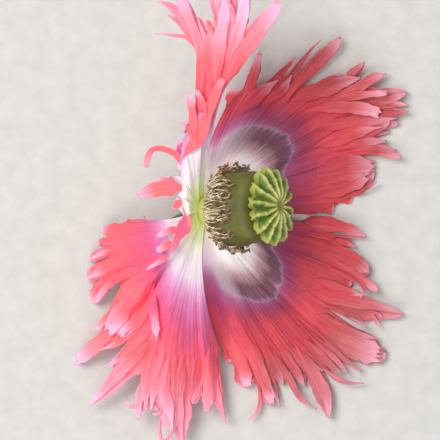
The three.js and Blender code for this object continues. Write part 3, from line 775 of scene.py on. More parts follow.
# %% Wires and finishes
class Wire:
    """One output in a finish, with the sums that can be made with it."""

    def __init__(self, finish, socket):
        self.finish = finish
        self.socket = socket

    def sum(self, operation, first, second):
        return self.finish.node("ShaderNodeMath", {"operation": operation}, {0: first, 1: second})

    def __add__(self, other):
        return self.sum("ADD", self, other)

    __radd__ = __add__

    def __sub__(self, other):
        return self.sum("SUBTRACT", self, other)

    def __rsub__(self, other):
        return self.sum("SUBTRACT", other, self)

    def __mul__(self, other):
        return self.sum("MULTIPLY", self, other)

    __rmul__ = __mul__

    def __pow__(self, other):
        return self.sum("POWER", self, other)


def colour(code):
    """A colour from its hexadecimal code, in the linear numbers that a finish uses."""
    parts = [int(code[i:i + 2], 16) / 255 for i in (0, 2, 4)]
    linear = [p / 12.92 if p < 0.04045 else ((p + 0.055) / 1.055) ** 2.4 for p in parts]
    return (*linear, 1.0)


class Finish:
    """A material and its nodes."""

    def __init__(self, name):
        self.material = bpy.data.materials.new(name)
        self.material.use_nodes = True
        self.tree = self.material.node_tree
        self.tree.nodes.clear()

    def node(self, kind, settings=None, sockets=None, out=0):
        """Adds a node and returns one of its outputs."""
        made = self.tree.nodes.new(kind)
        for key, value in (settings or {}).items():
            if key == "stops":
                ramp = made.color_ramp
                while len(ramp.elements) < len(value):
                    ramp.elements.new(0.5)
                for element, (place, code) in zip(ramp.elements, value):
                    element.position = place
                    element.color = colour(code)
            else:
                setattr(made, key, value)
        for key, value in (sockets or {}).items():
            if isinstance(value, Wire):
                self.tree.links.new(value.socket, made.inputs[key])
            else:
                made.inputs[key].default_value = value
        return Wire(self, made.outputs[out]) if made.outputs else None

    def place(self):
        """Where a point is on the flower, in metres."""
        return self.node("ShaderNodeTexCoord", out="Object")

    def number(self, name):
        """A number that the points of the mesh carry."""
        return self.node("ShaderNodeAttribute", {"attribute_name": name}, out="Fac")

    def vectors(self, operation, first, second=(0, 0, 0), out="Vector"):
        """A sum on places or directions."""
        settings = {"operation": operation}
        return self.node("ShaderNodeVectorMath", settings, {0: first, 1: second}, out)

    def ramp(self, place, stops):
        """The colour at a place in a row of colours."""
        return self.node("ShaderNodeValToRGB", {"stops": stops}, {"Fac": place}, "Color")

    def mix(self, first, second, share, blend="MIX"):
        """Two colours mixed."""
        settings = {"data_type": "RGBA", "blend_type": blend}
        return self.node("ShaderNodeMix", settings, {0: share, 6: first, 7: second}, out=2)

    def dimmed(self, base, factor):
        """A colour times a number."""
        grey = self.node("ShaderNodeCombineColor", None, {0: factor, 1: factor, 2: factor}, "Color")
        return self.mix(base, grey, 1.0, "MULTIPLY")

    def stretched(self, vector, scale):
        """A pattern's place, stretched by three numbers."""
        return self.node("ShaderNodeMapping", None, {"Vector": vector, "Scale": scale})

    def noise(self, vector, scale, detail=3.0, roughness=0.55):
        """A cloudy pattern, from 0 to 1."""
        sockets = {"Vector": vector, "Scale": scale, "Detail": detail, "Roughness": roughness}
        return self.node("ShaderNodeTexNoise", None, sockets, "Fac")

    def limited(self, value, low, high):
        """The value's place between low and high, from 0 to 1."""
        sockets = {"Value": value, "From Min": low, "From Max": high}
        return self.node("ShaderNodeMapRange", {"clamp": True}, sockets)

    def surface(self, base, roughness, bump, strength, depth, **fixed):
        """Ends the recipe with the shader. The bump's depth is in metres."""
        lumps = {"Height": bump, "Strength": strength, "Distance": depth}
        normal = self.node("ShaderNodeBump", None, lumps, "Normal")
        sockets = {"Base Color": base, "Roughness": roughness, "Normal": normal, **fixed}
        shader = self.node("ShaderNodeBsdfPrincipled", None, sockets, "BSDF")
        self.node("ShaderNodeOutputMaterial", None, {"Surface": shader})
        return self.material


print("coral in linear numbers:", np.round(colour("e8606a"), 3))

# %% [markdown]
# ## Petal colour
# The colour of a poppy petal follows the distance from the claw: yellow green at the very base,
# a pale blotch, a purple halo round it, coral, and pale pink at the tips. The `zone` number that
# each point carries gives the place in that row of colours, from 0 to 3. There are two rows, one
# painted shade and one painted light: the petals that lie in the shade of the others get a duller
# row, whose blotch has a dark rim that is partly the petal's own colour and partly painted shade,
# and the lit ones a brighter and pinker row. One finish mixes the two by the `light` number, so a
# petal can pass from painted shade to painted light.

# %% Rows of colours
ZONES = 3
# The `shaded` row, with its tips and back, is painted shade; the `lit` row is painted light.
shaded = {"tips": "dc9cac", "back": "bc6a76", "stops": [
    (0.00, "eaf2b4"), (0.20, "f8f6ee"), (0.42, "f8f4f4"), (0.60, "eee2e4"), (0.72, "b48e98"),
    (0.84, "704652"), (0.96, "70485a"), (1.02, "96708a"), (1.08, "8e4868"), (1.32, "903658"),
    (1.65, "a0364e"), (2.00, "ba3a48"), (2.35, "be4048"), (2.65, "b0444a"), (3.00, "b24c4e"),
]}
lit = {"tips": "f6badc", "back": "dba6c8", "stops": [
    (0.00, "e8f2b8"), (0.22, "f6f6de"), (0.42, "eee6dd"), (0.72, "e4d6da"), (0.93, "dccad8"),
    (1.05, "d8a8c8"), (1.35, "ce74a8"), (1.75, "ce5684"), (2.05, "e65474"), (2.30, "f25f6e"),
    (3.00, "f46a70"),
]}
print("colours in the two rows:", len(shaded["stops"]), "and", len(lit["stops"]))

# %% [markdown]
# ## Petal pattern
# Veins run along the strips, so their noise is stretched along the strip map. They also push the
# borders of the zones out and in, which gives the streaks. Wider patches, which are stretched
# less, make the halo and the coral uneven, and crumples lift the surface a little, with painted
# shade in their hollows and painted light on their ridges.


# %% Patterns on a petal
def petal_patterns(finish, place):
    """Fine and broad veins, crumples, patches and mottles, each from about -0.5 to 0.5."""
    strip = finish.node("ShaderNodeUVMap", {"uv_map": "strip"}, out="UV")
    fine = finish.noise(finish.stretched(strip, (6.5, 0.10, 1)), 1.0, 4.0, 0.65)
    broad = finish.noise(finish.stretched(strip, (1.4, 0.05, 1)), 1.0, 2.0)
    crumple = finish.noise(finish.stretched(strip, (0.9, 0.3, 1)), 1.0, 4.0, 0.6)
    patches = finish.noise(finish.stretched(strip, (0.7, 0.12, 1)), 1.0, 3.0)
    mottle = finish.noise(place, 160.0, 3.0)
    return [pattern - 0.5 for pattern in (fine, broad, crumple, patches, mottle)]


def distance_from(finish, place, spot, stretch=(1, 1, 1)):
    """How far a point is from a spot, in metres. The spot itself is in millimetres."""
    middle = [float(v) for v in (SHIFT + spot) * MM]
    apart = finish.vectors("MULTIPLY", finish.vectors("SUBTRACT", place, middle), stretch)
    return finish.vectors("LENGTH", apart, out="Value")


print("patterns of a petal: veins, crumples, patches and mottles")

# %% [markdown]
# ## The petal's finish
# The recipe starts with the two rows of colours, of painted shade and painted light. The pale tips
# and the green heart round the receptacle go over them. Then the patterns make the petal lighter and
# darker, partly as painted shade, and its back is made paler. Light also passes through such thin
# petals, which a solid finish would miss. So a small part of the colour is given off as a painted
# glow that stands for that light and lifts the petal's shade, and more of it beside the capsule's
# foot, a painted pool of light where the blotch of the lower petal looks brightest. A soft sheen
# stands for the silky skin.
#
# `HEART` and `GLOW` are the middles of the green heart and of that painted pool of light, in
# millimetres. `HEART_EDGE` and `GLOW_EDGE` say, in metres, how far from them each one starts to
# fade and where it ends.

# %% Petal finish
HEART = np.array([-1.6, 0.0, 15.6])
HEART_STRETCH = (1.45, 0.62, 0.8)
HEART_EDGE = (0.0014, 0.0068)
GLOW = np.array([1.6, -8.6, 8.5])
GLOW_EDGE = (0.003, 0.0095)


def petal_finish(name):
    """The finish of all four petals."""
    finish = Finish(name)
    place = finish.place()
    zone, tip, tone, back, light = (finish.number(n) for n in ("zone", "tip", "tone", "back", "light"))
    fine, broad, crumple, patches, mottle = petal_patterns(finish, place)

    # Where a point is in the rows of colours. `light` mixes painted shade into painted light,
    # and the blotch takes the painted light sooner than the rest.
    beyond = finish.limited(zone, 1.0, 1.9)
    streaks = (fine + broad * 1.6) * (0.12 + beyond * 0.06 + light * 0.06)
    row = (zone + streaks + patches * beyond * (1.5 - light * 0.9)) * (1 / ZONES)
    duller, brighter = (
        finish.ramp(row, [(stop / ZONES, code) for stop, code in side["stops"]]) for side in (shaded, lit)
    )
    soon = light**0.45
    base = finish.mix(duller, brighter, light + (soon - light) * (1 - beyond))

    # Tips, mixed from painted shade to painted light like the rows, and the heart.
    tips = finish.mix(colour(shaded["tips"]), colour(lit["tips"]), light)
    paleness = finish.limited(tip + broad * 0.35 + mottle * 0.3, 0.05, 1.15)
    base = finish.mix(base, tips, paleness * 0.9)
    from_heart = distance_from(finish, place, HEART, HEART_STRETCH) + fine * 0.002
    green = 1 - finish.limited(from_heart, *HEART_EDGE)
    base = finish.mix(base, colour("e2f47c"), green * 0.95)

    # Lighter and darker places, partly painted shade, and the back, mixed from painted shade to painted
    # light.
    # Crumples are painted darker in their hollows and lighter on their ridges, following their bump, and
    # `tone` brings the painted crease shade and the painted shading across lobes.
    bright = 1 + tone * 1.7 + fine * 0.6 + broad * 0.3 + mottle * 0.15 + crumple * 0.3
    base = finish.dimmed(base, bright)
    behind = finish.mix(colour(shaded["back"]), colour(lit["back"]), light)
    base = finish.mix(base, behind, back * 0.45)

    # A painted glow: part of the colour given off as light, as if through the petal, with more in a
    # painted pool of light beside the capsule's foot; and the shader.
    painted_light_pool = 1 - finish.limited(distance_from(finish, place, GLOW), *GLOW_EDGE)
    through = 0.15 + painted_light_pool * 0.35
    folds = fine * 0.6 + broad * 0.4 + crumple * 1.3
    fixed = {
        "Sheen Weight": 0.12,
        "Sheen Roughness": 0.5,
        "Specular IOR Level": 0.28,
        "Emission Color": finish.dimmed(base, through),
        "Emission Strength": 1.0,
    }
    return finish.surface(base, 0.6 + fine * 0.2, folds, 0.5, 0.0003, **fixed)


petal_skin = petal_finish("petal")
print("petal finish:", petal_skin.name)

# %% [markdown]
# ## The capsule
# The seed capsule is a barrel: narrow at its foot, widest near its shoulder. It is turned round
# the flower's axis from the same profile as the solid, with faint seams where its walls meet.
# A waxy bloom and smudges vary the olive green skin.

# %% Turned shapes
RAYS = 14
turn_up = Vector((0, 1, 0)).rotation_difference(Vector(along))
first_ray = np.array(turn_up @ Vector((1, 0, 0)))
RAY_TURN = math.degrees(math.atan2(first_ray @ towards, first_ray @ across))


def outward(made):
    """Turns a mesh whose faces point inwards."""
    volume = 0.0
    points = np.array([v.co[:] for v in made.vertices])
    for face in made.polygons:
        corners = points[list(face.vertices)]
        for k in range(1, len(corners) - 1):
            volume += np.dot(corners[0], np.cross(corners[k], corners[k + 1]))
    if volume < 0:
        made.flip_normals()
    return made


def turned_mesh(name, distances, radii, degrees):
    """A closed mesh from rings round the flower's axis. The first and last ring close at the axis."""
    rows, sides = radii.shape
    rings = around_axis(distances, radii, np.broadcast_to(degrees, radii.shape)).reshape(-1, 3)
    ends = [RECEPTACLE + along * distances[i].mean() for i in (0, -1)]
    index = np.arange(rows * sides).reshape(rows, sides)
    nxt = np.roll(index, -1, axis=1)
    quads = np.stack([index[:-1], nxt[:-1], nxt[1:], index[1:]], -1).reshape(-1, 4)
    first, last = rows * sides, rows * sides + 1
    faces = quads.tolist() + [[first, b, a] for a, b in zip(index[0], nxt[0])]
    faces += [[last, a, b] for a, b in zip(index[-1], nxt[-1])]
    made = outward(smooth_mesh(name, np.vstack([rings, ends]), faces))
    made.update()
    return made


def put(name, mesh, finish, node):
    """Shows a mesh in place of a solid part."""
    piece = bpy.data.objects.new(name, mesh)
    bpy.context.collection.objects.link(piece)
    mesh.materials.clear()
    mesh.materials.append(finish)
    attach(piece, "root")
    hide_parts(node)
    print(name, "has", sum(len(f.vertices) - 2 for f in mesh.polygons), "triangles")


print("the first ray is turned by", round(RAY_TURN, 1), "degrees")

# %% Capsule finish
capsule_finish = Finish("glaucous capsule")
place = capsule_finish.place()
bloom = capsule_finish.noise(place, 190.0, 4.0)
smudge = capsule_finish.noise(place, 700.0, 3.0)
greener = capsule_finish.limited(capsule_finish.noise(place, 60.0, 2.0), 0.40, 0.62)
skin = capsule_finish.ramp(bloom, [(0.30, "4a4a1c"), (0.50, "5d5c22"), (0.70, "747032")])
skin = capsule_finish.mix(skin, colour("6f7a34"), greener * 0.6)
skin = capsule_finish.mix(skin, colour("56652e"), capsule_finish.limited(smudge, 0.62, 0.72) * 0.5)
grain = bloom * 0.6 + smudge * 0.4
capsule_skin = capsule_finish.surface(skin, 0.62 + (bloom - 0.5) * 0.2, grain, 0.25, 0.0002)
print("capsule finish:", capsule_skin.name)

# %% The capsule's mesh
seam = np.cos(np.radians((capsule_degrees - RAY_TURN) * RAYS)) ** 8
seams = 1 - 0.010 * seam[None] * ease(capsule_rise, 4, 8)[:, None]
swell = 0.006 * np.sin(np.radians(capsule_degrees * 3 + 40))
lumps = 1 + swell[None] * ease(capsule_rise, 3, 10)[:, None]
spread = np.repeat(capsule_rise[:, None], CAPSULE_SIDES, 1)
capsule_mesh = turned_mesh("capsule", spread, capsule_rings * seams * lumps, capsule_degrees)
put("seed_capsule", capsule_mesh, capsule_skin, "capsule")

# %% [markdown]
# ## The stigma disc
# Fourteen rays lie on a shallow dome. Each is a raised, velvety ridge with a shallow groove and
# crinkled sides, and the rim of the disc is scalloped and turned down between them. No two rays
# are quite alike, so a fixed seed makes some a little longer. One formula of distance and angle
# gives the height, so the ridges are real form and cast real shadows. The formula's ridge value
# is kept on the points, and the finish uses it: pale ridges, deep green valleys.

# %% The disc's rings and rays
DISC_HEIGHT = 19.2
DISC_RADIUS = 9.9
DISC_CROWN = 1.5
DISC_INSET = 0.985
RAY_RIDGE = 0.95
PER_RAY = 20
INNER_RINGS = 34
RIM_RINGS = 12

disc_degrees = np.arange(RAYS * PER_RAY) * 360 / (RAYS * PER_RAY)
share = np.r_[np.linspace(0.02, 0.84, INNER_RINGS), np.linspace(0.86, 1.0, RIM_RINGS)][:, None]
slow_sway = 1.8 * np.sin(np.radians(disc_degrees * 2)[None] + 5 * share)
quick_sway = 1.6 * np.sin(np.radians(disc_degrees * 5)[None] - 9 * share)
swayed = disc_degrees[None] + (slow_sway + quick_sway) * ease(share, 0.1, 0.5)
rays = (swayed - RAY_TURN) * RAYS / 360 + 0.5
off_middle = rays % 1 - 0.5
ray_number = np.floor(rays).astype(int) % RAYS
disc_rng = np.random.default_rng(8)
longer = disc_rng.uniform(-0.07, 0.03, RAYS)[ray_number]
phase = disc_rng.uniform(0, TURN, RAYS)[ray_number]
print("points on the disc:", off_middle.size)

# %% The disc's outline
uneven = 0.04 * np.sin(np.radians(disc_degrees * 2 + 30))[None]
wobble = 1 + uneven + longer * (1 - (2 * off_middle) ** 2) * ease(share, 0.3, 1)
scallop = 1 - 0.34 * np.abs(2 * off_middle) ** 1.9 * ease(share, 0.3, 1)
disc_radius = share * DISC_RADIUS * scallop * wobble * DISC_INSET
print("the disc is", round(2 * float(disc_radius.max()), 1), "mm across")

# %% Ridges, grooves and valleys
off_ray = np.abs(off_middle) * 2 * np.pi / RAYS * disc_radius
crinkle = 0.22 * np.sin(24 * share + phase) + 0.12 * np.sin(53 * share + 2 * phase)
crinkle = 1 + crinkle * ease(share, 0.25, 0.5)
ridge = np.exp(-((off_ray / (0.46 * crinkle)) ** 2))
groove = np.exp(-((off_ray / 0.17) ** 2)) * ease(share, 0.3, 0.6)
lip = np.exp(-(((share - 0.955) / 0.035) ** 2))
strength = np.minimum(1, 4 * share) * (1 - 0.2 * ease(share, 0.9, 1))
dome = DISC_CROWN * (1 - share**2) - 0.9 * share**5
valley = 0.75 * np.abs(2 * off_middle) ** 1.4 * ease(share, 0.15, 0.6)
raised = RAY_RIDGE * (ridge * (0.75 + 0.25 * crinkle) - 0.28 * groove) * strength
height = DISC_HEIGHT + dome + raised - valley + 0.3 * lip * (1 - ridge)
print("the disc rises", round(float(height.max() - height.min()), 1), "mm from its rim")

# %% [markdown]
# ## The underside of the disc
# Below its rim the disc turns in towards the capsule. `UNDERSIDE` gives the rings there: a share
# of the rim's radius, and how far it is below the rim. No ring goes down into the capsule.

# %% The disc's mesh
UNDERSIDE = [(1.0, 0.42), (0.97, 0.75), (0.86, 1.15), (0.66, 1.5)]
lowest = CAPSULE_TOP + 0.25
lower_radius = [disc_radius[-1] * part for part, _ in UNDERSIDE]
lower_height = [np.maximum(height[-1] - drop, lowest) for _, drop in UNDERSIDE]
ridge_value = np.maximum(ridge * strength - 0.4 * groove, 0.4 * lip)
lower_ridge = [0.2 * ridge[-1] for _ in UNDERSIDE]
share_value = np.broadcast_to(share, ridge.shape)
lower_share = [np.ones(RAYS * PER_RAY) for _ in UNDERSIDE]
all_radius = np.vstack([disc_radius, *lower_radius])
all_height = np.vstack([height, *lower_height])
disc_mesh = turned_mesh("stigma disc", all_height, all_radius, disc_degrees)
numbers = {"ridge": np.vstack([ridge_value, *lower_ridge]), "share": np.vstack([share_value, *lower_share])}
for label, values in numbers.items():
    keep_number(disc_mesh, label, np.r_[values.reshape(-1), values[0].mean(), values[-1].mean()])
print("rings of the disc:", len(all_radius))

# %% Disc finish
disc_finish = Finish("stigma disc")
place = disc_finish.place()
velvet = disc_finish.noise(place, 1500.0, 4.0, 0.7)
mottle = disc_finish.noise(place, 260.0, 3.0)
ridge_place = disc_finish.number("ridge") + (mottle - 0.5) * 0.25
out = disc_finish.number("share")
rim = disc_finish.limited(out, 0.9, 1.0)
navel = 1 - disc_finish.limited(out, 0.03, 0.16)
skin = disc_finish.ramp(ridge_place, [(0.0, "5f7c32"), (0.25, "7a923c"), (0.5, "b0b456"), (0.85, "d6d48a")])
skin = disc_finish.mix(skin, colour("b4b050"), rim * 0.6)
skin = disc_finish.mix(skin, colour("a08a5c"), navel * 0.8)
disc_skin = disc_finish.surface(skin, 0.6, velvet * 0.7 + mottle * 0.3, 0.5, 0.0002)
put("rayed_disc", disc_mesh, disc_skin, "stigma_disc")

# %% [markdown]
# ## The measured straps
# These lists hold the long lobes, folded lobes and strands of each petal, with picture steps
# from root to tip. They are what makes the fringe look layered. Places with a third number have
# their own height: these straps stand free of the blade.

# %% Straps of the right petals
upper_right["straps"] = [
    strap([(247, 108), (252, 82), (260, 53)], [9, 10, 6]),
    strap([(279, 78), (288, 67), (296, 58)], [5, 3, 1.5]),
    strap([(284, 88), (300, 65), (310, 51), (321, 40)], [6, 4, 3, 2], 0.6),
    strap([(283, 108), (302, 82), (320, 62), (332, 48), (341, 37)],
          [4, 8, 10, 12, 6], 0.5, pale=(0.5, 1.1)),
    strap([(316, 90), (330, 80), (339, 73)], [5, 4, 1.5]),
    strap([(276, 112), (300, 97), (323, 89), (343, 82), (361, 78)],
          [10, 17, 17, 12, 6], 0.5, (2.1, 3), tone=-0.02),
    strap([(338, 86), (353, 72), (365, 62)], [7, 7, 3]),
    strap([(320, 100), (340, 94), (358, 88), (374, 78), (387, 74)], [8, 10, 10, 9, 4], 0.55),
    strap([(315, 106), (340, 99), (362, 95), (388, 93)], [5, 7, 8, 5], 0.8, pale=(0.5, 1.1), tone=0.05),
    strap([(352, 108), (375, 102), (392, 99), (406, 93)], [6, 9, 8, 3], 0.5, pale=(0.4, 1.1)),
    strap([(360, 107), (380, 105), (394, 104), (407, 105)], [6, 8, 7, 3], 0.45, pale=(0.4, 1.1)),
    strap([(290, 116), (316, 109), (342, 107), (364, 109), (382, 114)],
          [5, 10, 11, 13, 12], 0.9, (2.2, 3), (0.5, 1.1), 0.06),
    strap([(350, 119), (375, 115), (398, 114), (409, 111)], [8, 8, 5, 1.5]),
    strap([(305, 128), (335, 125), (365, 122), (397, 118)], [10, 14, 12, 4], 0.5),
    strap([(340, 143), (362, 137), (378, 129), (390, 121)], [6, 8, 8, 5]),
    strap([(300, 152), (330, 142), (358, 132), (382, 127)], [8, 13, 11, 3], 0.6, tone=0.03),
    strap([(318, 155), (342, 147), (364, 142), (387, 141)], [8, 10, 9, 4]),
    strap([(322, 160), (350, 153), (374, 148), (397, 150)], [8, 9, 8, 3], 0.45),
    strap([(335, 160), (360, 150), (380, 152), (402, 158)], [6, 9, 8, 5], 0.7),
    strap([(298, 178), (325, 173), (350, 168), (377, 166)], [14, 22, 24, 16], 0.45, tone=-0.06),
    strap([(300, 195), (325, 190), (350, 184), (369, 176)], [12, 18, 18, 10], 0.5, tone=-0.04),
    strap([(338, 194), (356, 194), (368, 187), (377, 182)], [5, 4, 3, 1.5], 0.6),
    strap([(235, 128), (246, 108), (262, 92), (278, 80)], [8, 12, 12, 4], 0.35),
    strap([(252, 118), (268, 100), (282, 90), (292, 75)], [8, 10, 9, 3], 0.35),
]
lower_right["straps"] = [
    strap([(292, 223), (320, 223), (346, 228), (367, 237)], [12, 15, 12, 4], 0.4),
    strap([(322, 240), (342, 242), (356, 247)], [6, 6, 2.5]),
    strap([(305, 243), (335, 250), (358, 263), (369, 274)], [10, 16, 13, 7], 0.4),
    strap([(322, 256), (345, 267), (364, 280), (378, 292)], [8, 10, 9, 5], 0.55),
    strap([(310, 259), (335, 270), (353, 279), (363, 286), (364, 292), (360, 298)],
          [6, 7, 5, 4, 3, 2], 0.9, tone=0.02),
    strap([(300, 272), (328, 284), (350, 292), (363, 296)], [8, 10, 7, 3], 0.5),
    strap([(293, 284), (322, 294), (350, 300), (378, 306), (404, 314)],
          [9, 15, 14, 10, 2.5], 0.6, tone=0.03),
    strap([(318, 301), (342, 311), (358, 318), (366, 328)], [4, 4, 3, 1.5], 0.6),
    strap([(368, 309), (374, 318), (380, 328)], [6, 4, 2], 0.5, pale=(0.3, 1)),
    strap([(368, 309), (376, 313), (382, 317)], [5, 3, 1.5], 0.6, pale=(0.3, 1)),
    strap([(300, 306), (325, 320), (350, 332), (378, 339)], [9, 13, 10, 3], 0.4),
    strap([(302, 313), (330, 333), (357, 347), (384, 358)],
          [9, 17, 23, 20], 0.5, pale=(0.45, 1.2), tone=0.04),
    strap([(318, 338), (340, 352), (359, 360)], [5, 4, 1.5], 0.5),
    strap([(296, 314), (322, 335), (344, 357), (361, 371)], [4, 5, 4, 2], 0.6),
    strap([(300, 326), (323, 348), (337, 361), (348, 373)], [5, 6, 5, 2], 0.5),
    strap([(292, 328), (315, 348), (331, 364), (342, 374)], [6, 7, 5, 2], 0.6, tone=0.03),
    strap([(310, 358), (330, 373), (346, 382), (363, 383)], [5, 4, 3, 1.5], 0.8),
    strap([(286, 328), (302, 355), (318, 378), (327, 397), (329, 418)],
          [8, 11, 11, 9, 5], 0.6, pale=(0.5, 1.2)),
    strap([(292, 342), (310, 362), (323, 371)], [6, 6, 2], 0.4),
    strap([(314, 374), (323, 384), (331, 392)], [5, 4, 1.5], 0.5),
    strap([(272, 330), (286, 355), (297, 373), (304, 386)], [7, 10, 9, 4], 0.45),
    strap([(262, 328), (278, 360), (290, 380), (301, 398), (317, 409)],
          [7, 9, 8, 5, 2.5], 0.6, pale=(0.5, 1)),
    strap([(252, 325), (266, 350), (276, 370), (284, 386)], [7, 10, 10, 4], 0.4),
    strap([(238, 318), (252, 348), (261, 372), (268, 390), (272, 405)],
          [9, 14, 13, 11, 7], 0.55, pale=(0.6, 1.3), tone=0.03),
    strap([(224, 318), (235, 348), (244, 370), (248, 387)], [9, 15, 14, 9], 0.4, pale=(0.6, 1.2)),
    strap([(258, 368), (267, 386), (276, 396), (280, 407)], [5, 4, 3, 1.5], 0.7, pale=(0.3, 1.2)),
    strap([(256, 374), (260, 394), (258, 410), (249, 420)], [5, 4, 3, 2], 0.5, pale=(0.3, 1)),
    strap([(222, 292), (234, 322), (250, 352), (262, 375)], [8, 12, 11, 4], 0.3),
]
print("straps of the right petals:", len(upper_right["straps"]) + len(lower_right["straps"]))

# %% Straps of the left petals
lower_left["straps"] = [
    strap([(126, 246), (110, 249), (89, 260)], [8, 7, 2.5], 0.2, pale=(0.4, 1)),
    strap([(132, 258), (109, 267), (87, 279)], [12, 10, 4], 0.25, pale=(0.5, 1.2)),
    strap([(156, 262), (132, 271), (111, 282), (94, 304)], [8, 9, 9, 5], 0.5, pale=(0.6, 1)),
    strap([(154, 272), (138, 291), (121, 313), (107, 334)],
          [12, 17, 18, 12], 0.8, pale=(0.5, 0.9), tone=0.05),
    strap([(156, 276), (148, 300), (134, 320), (119, 336)],
          [9, 15, 16, 11], 0.5, pale=(0.6, 1), tone=-0.02),
    strap([(130, 302), (116, 312), (104, 321), (94, 331)], [7, 8, 7, 4], 0.3, pale=(0.5, 1)),
    strap([(130, 314), (108, 335), (91, 350), (75, 363)], [9, 14, 13, 9], 0.4, pale=(0.5, 1.2)),
    strap([(158, 312), (135, 330), (117, 343), (99, 350)], [5, 6, 5, 2], 0.5),
    strap([(160, 322), (142, 339), (126, 352), (109, 366)], [9, 11, 9, 5], 0.5, pale=(0.6, 1)),
    strap([(162, 328), (144, 347), (123, 368), (106, 387), (90, 405)],
          [9, 13, 12, 9, 5], 0.6, pale=(0.6, 1.3)),
    strap([(158, 282), (154, 305), (156, 324), (157, 339)], [6, 9, 8, 3], 1.2, pale=(0.3, 0.8), tone=0.05),
    strap([(163, 330), (152, 355), (147, 385), (146, 410)], [8, 11, 8, 4], 0.6, pale=(0.5, 1)),
    strap([(168, 335), (162, 360), (155, 385), (151, 409)], [8, 11, 9, 4], 0.5, pale=(0.5, 1)),
    strap([(150, 368), (142, 388), (139, 405), (138, 419)], [6, 8, 7, 4], 0.5, pale=(0.3, 1.1)),
    strap([(172, 335), (168, 362), (164, 388), (170, 410), (173, 430)],
          [8, 10, 12, 9, 2], 0.7, pale=(0.4, 1.2)),
    strap([(141, 400), (133, 406), (125, 402)], [5, 4, 2], 0.2, pale=(0.1, 1.2)),
    strap([(165, 404), (160, 422), (161, 437), (166, 439), (173, 430), (177, 416), (174, 403)],
          [5, 4, 3, 3, 3, 3, 3], 0.5, pale=(0.1, 1)),
    strap([(164, 408), (159, 413), (153, 414)], [4, 3, 1.5], 0.5, pale=(0.1, 1)),
    strap([(188, 335), (182, 365), (178, 392), (180, 418), (182, 443)],
          [9, 13, 11, 8, 4], 0.6, pale=(0.5, 0.9)),
    strap([(180, 340), (174, 366), (172, 388), (176, 404)], [8, 10, 8, 4], 0.4, pale=(0.6, 0.8)),
    strap([(200, 335), (198, 365), (196, 388), (193, 404)], [8, 11, 9, 4], 0.4, pale=(0.7, 0.8)),
    strap([(210, 335), (210, 365), (209, 392), (207, 412)], [10, 13, 13, 6], 0.5, pale=(0.7, 0.7)),
    strap([(212, 335), (212, 365), (217, 395), (226, 424)], [8, 10, 8, 3], 0.5, pale=(0.7, 0.8), tone=0.02),
    strap([(183, 208, 20.2), (187, 217, 21.4), (185, 226, 21.6), (179, 236, 21.3),
           (174, 246, 21.2), (168, 258, 20.4)],
          [8, 14, 13, 8, 7, 3], zone=(1.7, 2.3), pale=(0.5, 0.35), tone=0.02),
    strap([(182, 228, 21.6), (170, 231, 21.0), (157, 236, 20.0)],
          [8, 7, 4], zone=(2.0, 2.8), pale=(0.3, 0.9)),
    strap([(177, 241, 21.3), (166, 246, 20.6), (157, 251, 19.8)],
          [9, 8, 5], zone=(2.0, 2.8), pale=(0.3, 0.9)),
    strap([(170, 254, 20.5), (160, 261, 19.8), (147, 269, 18.8)], [6, 5, 2], zone=(2.3, 3), pale=(0.2, 1)),
]
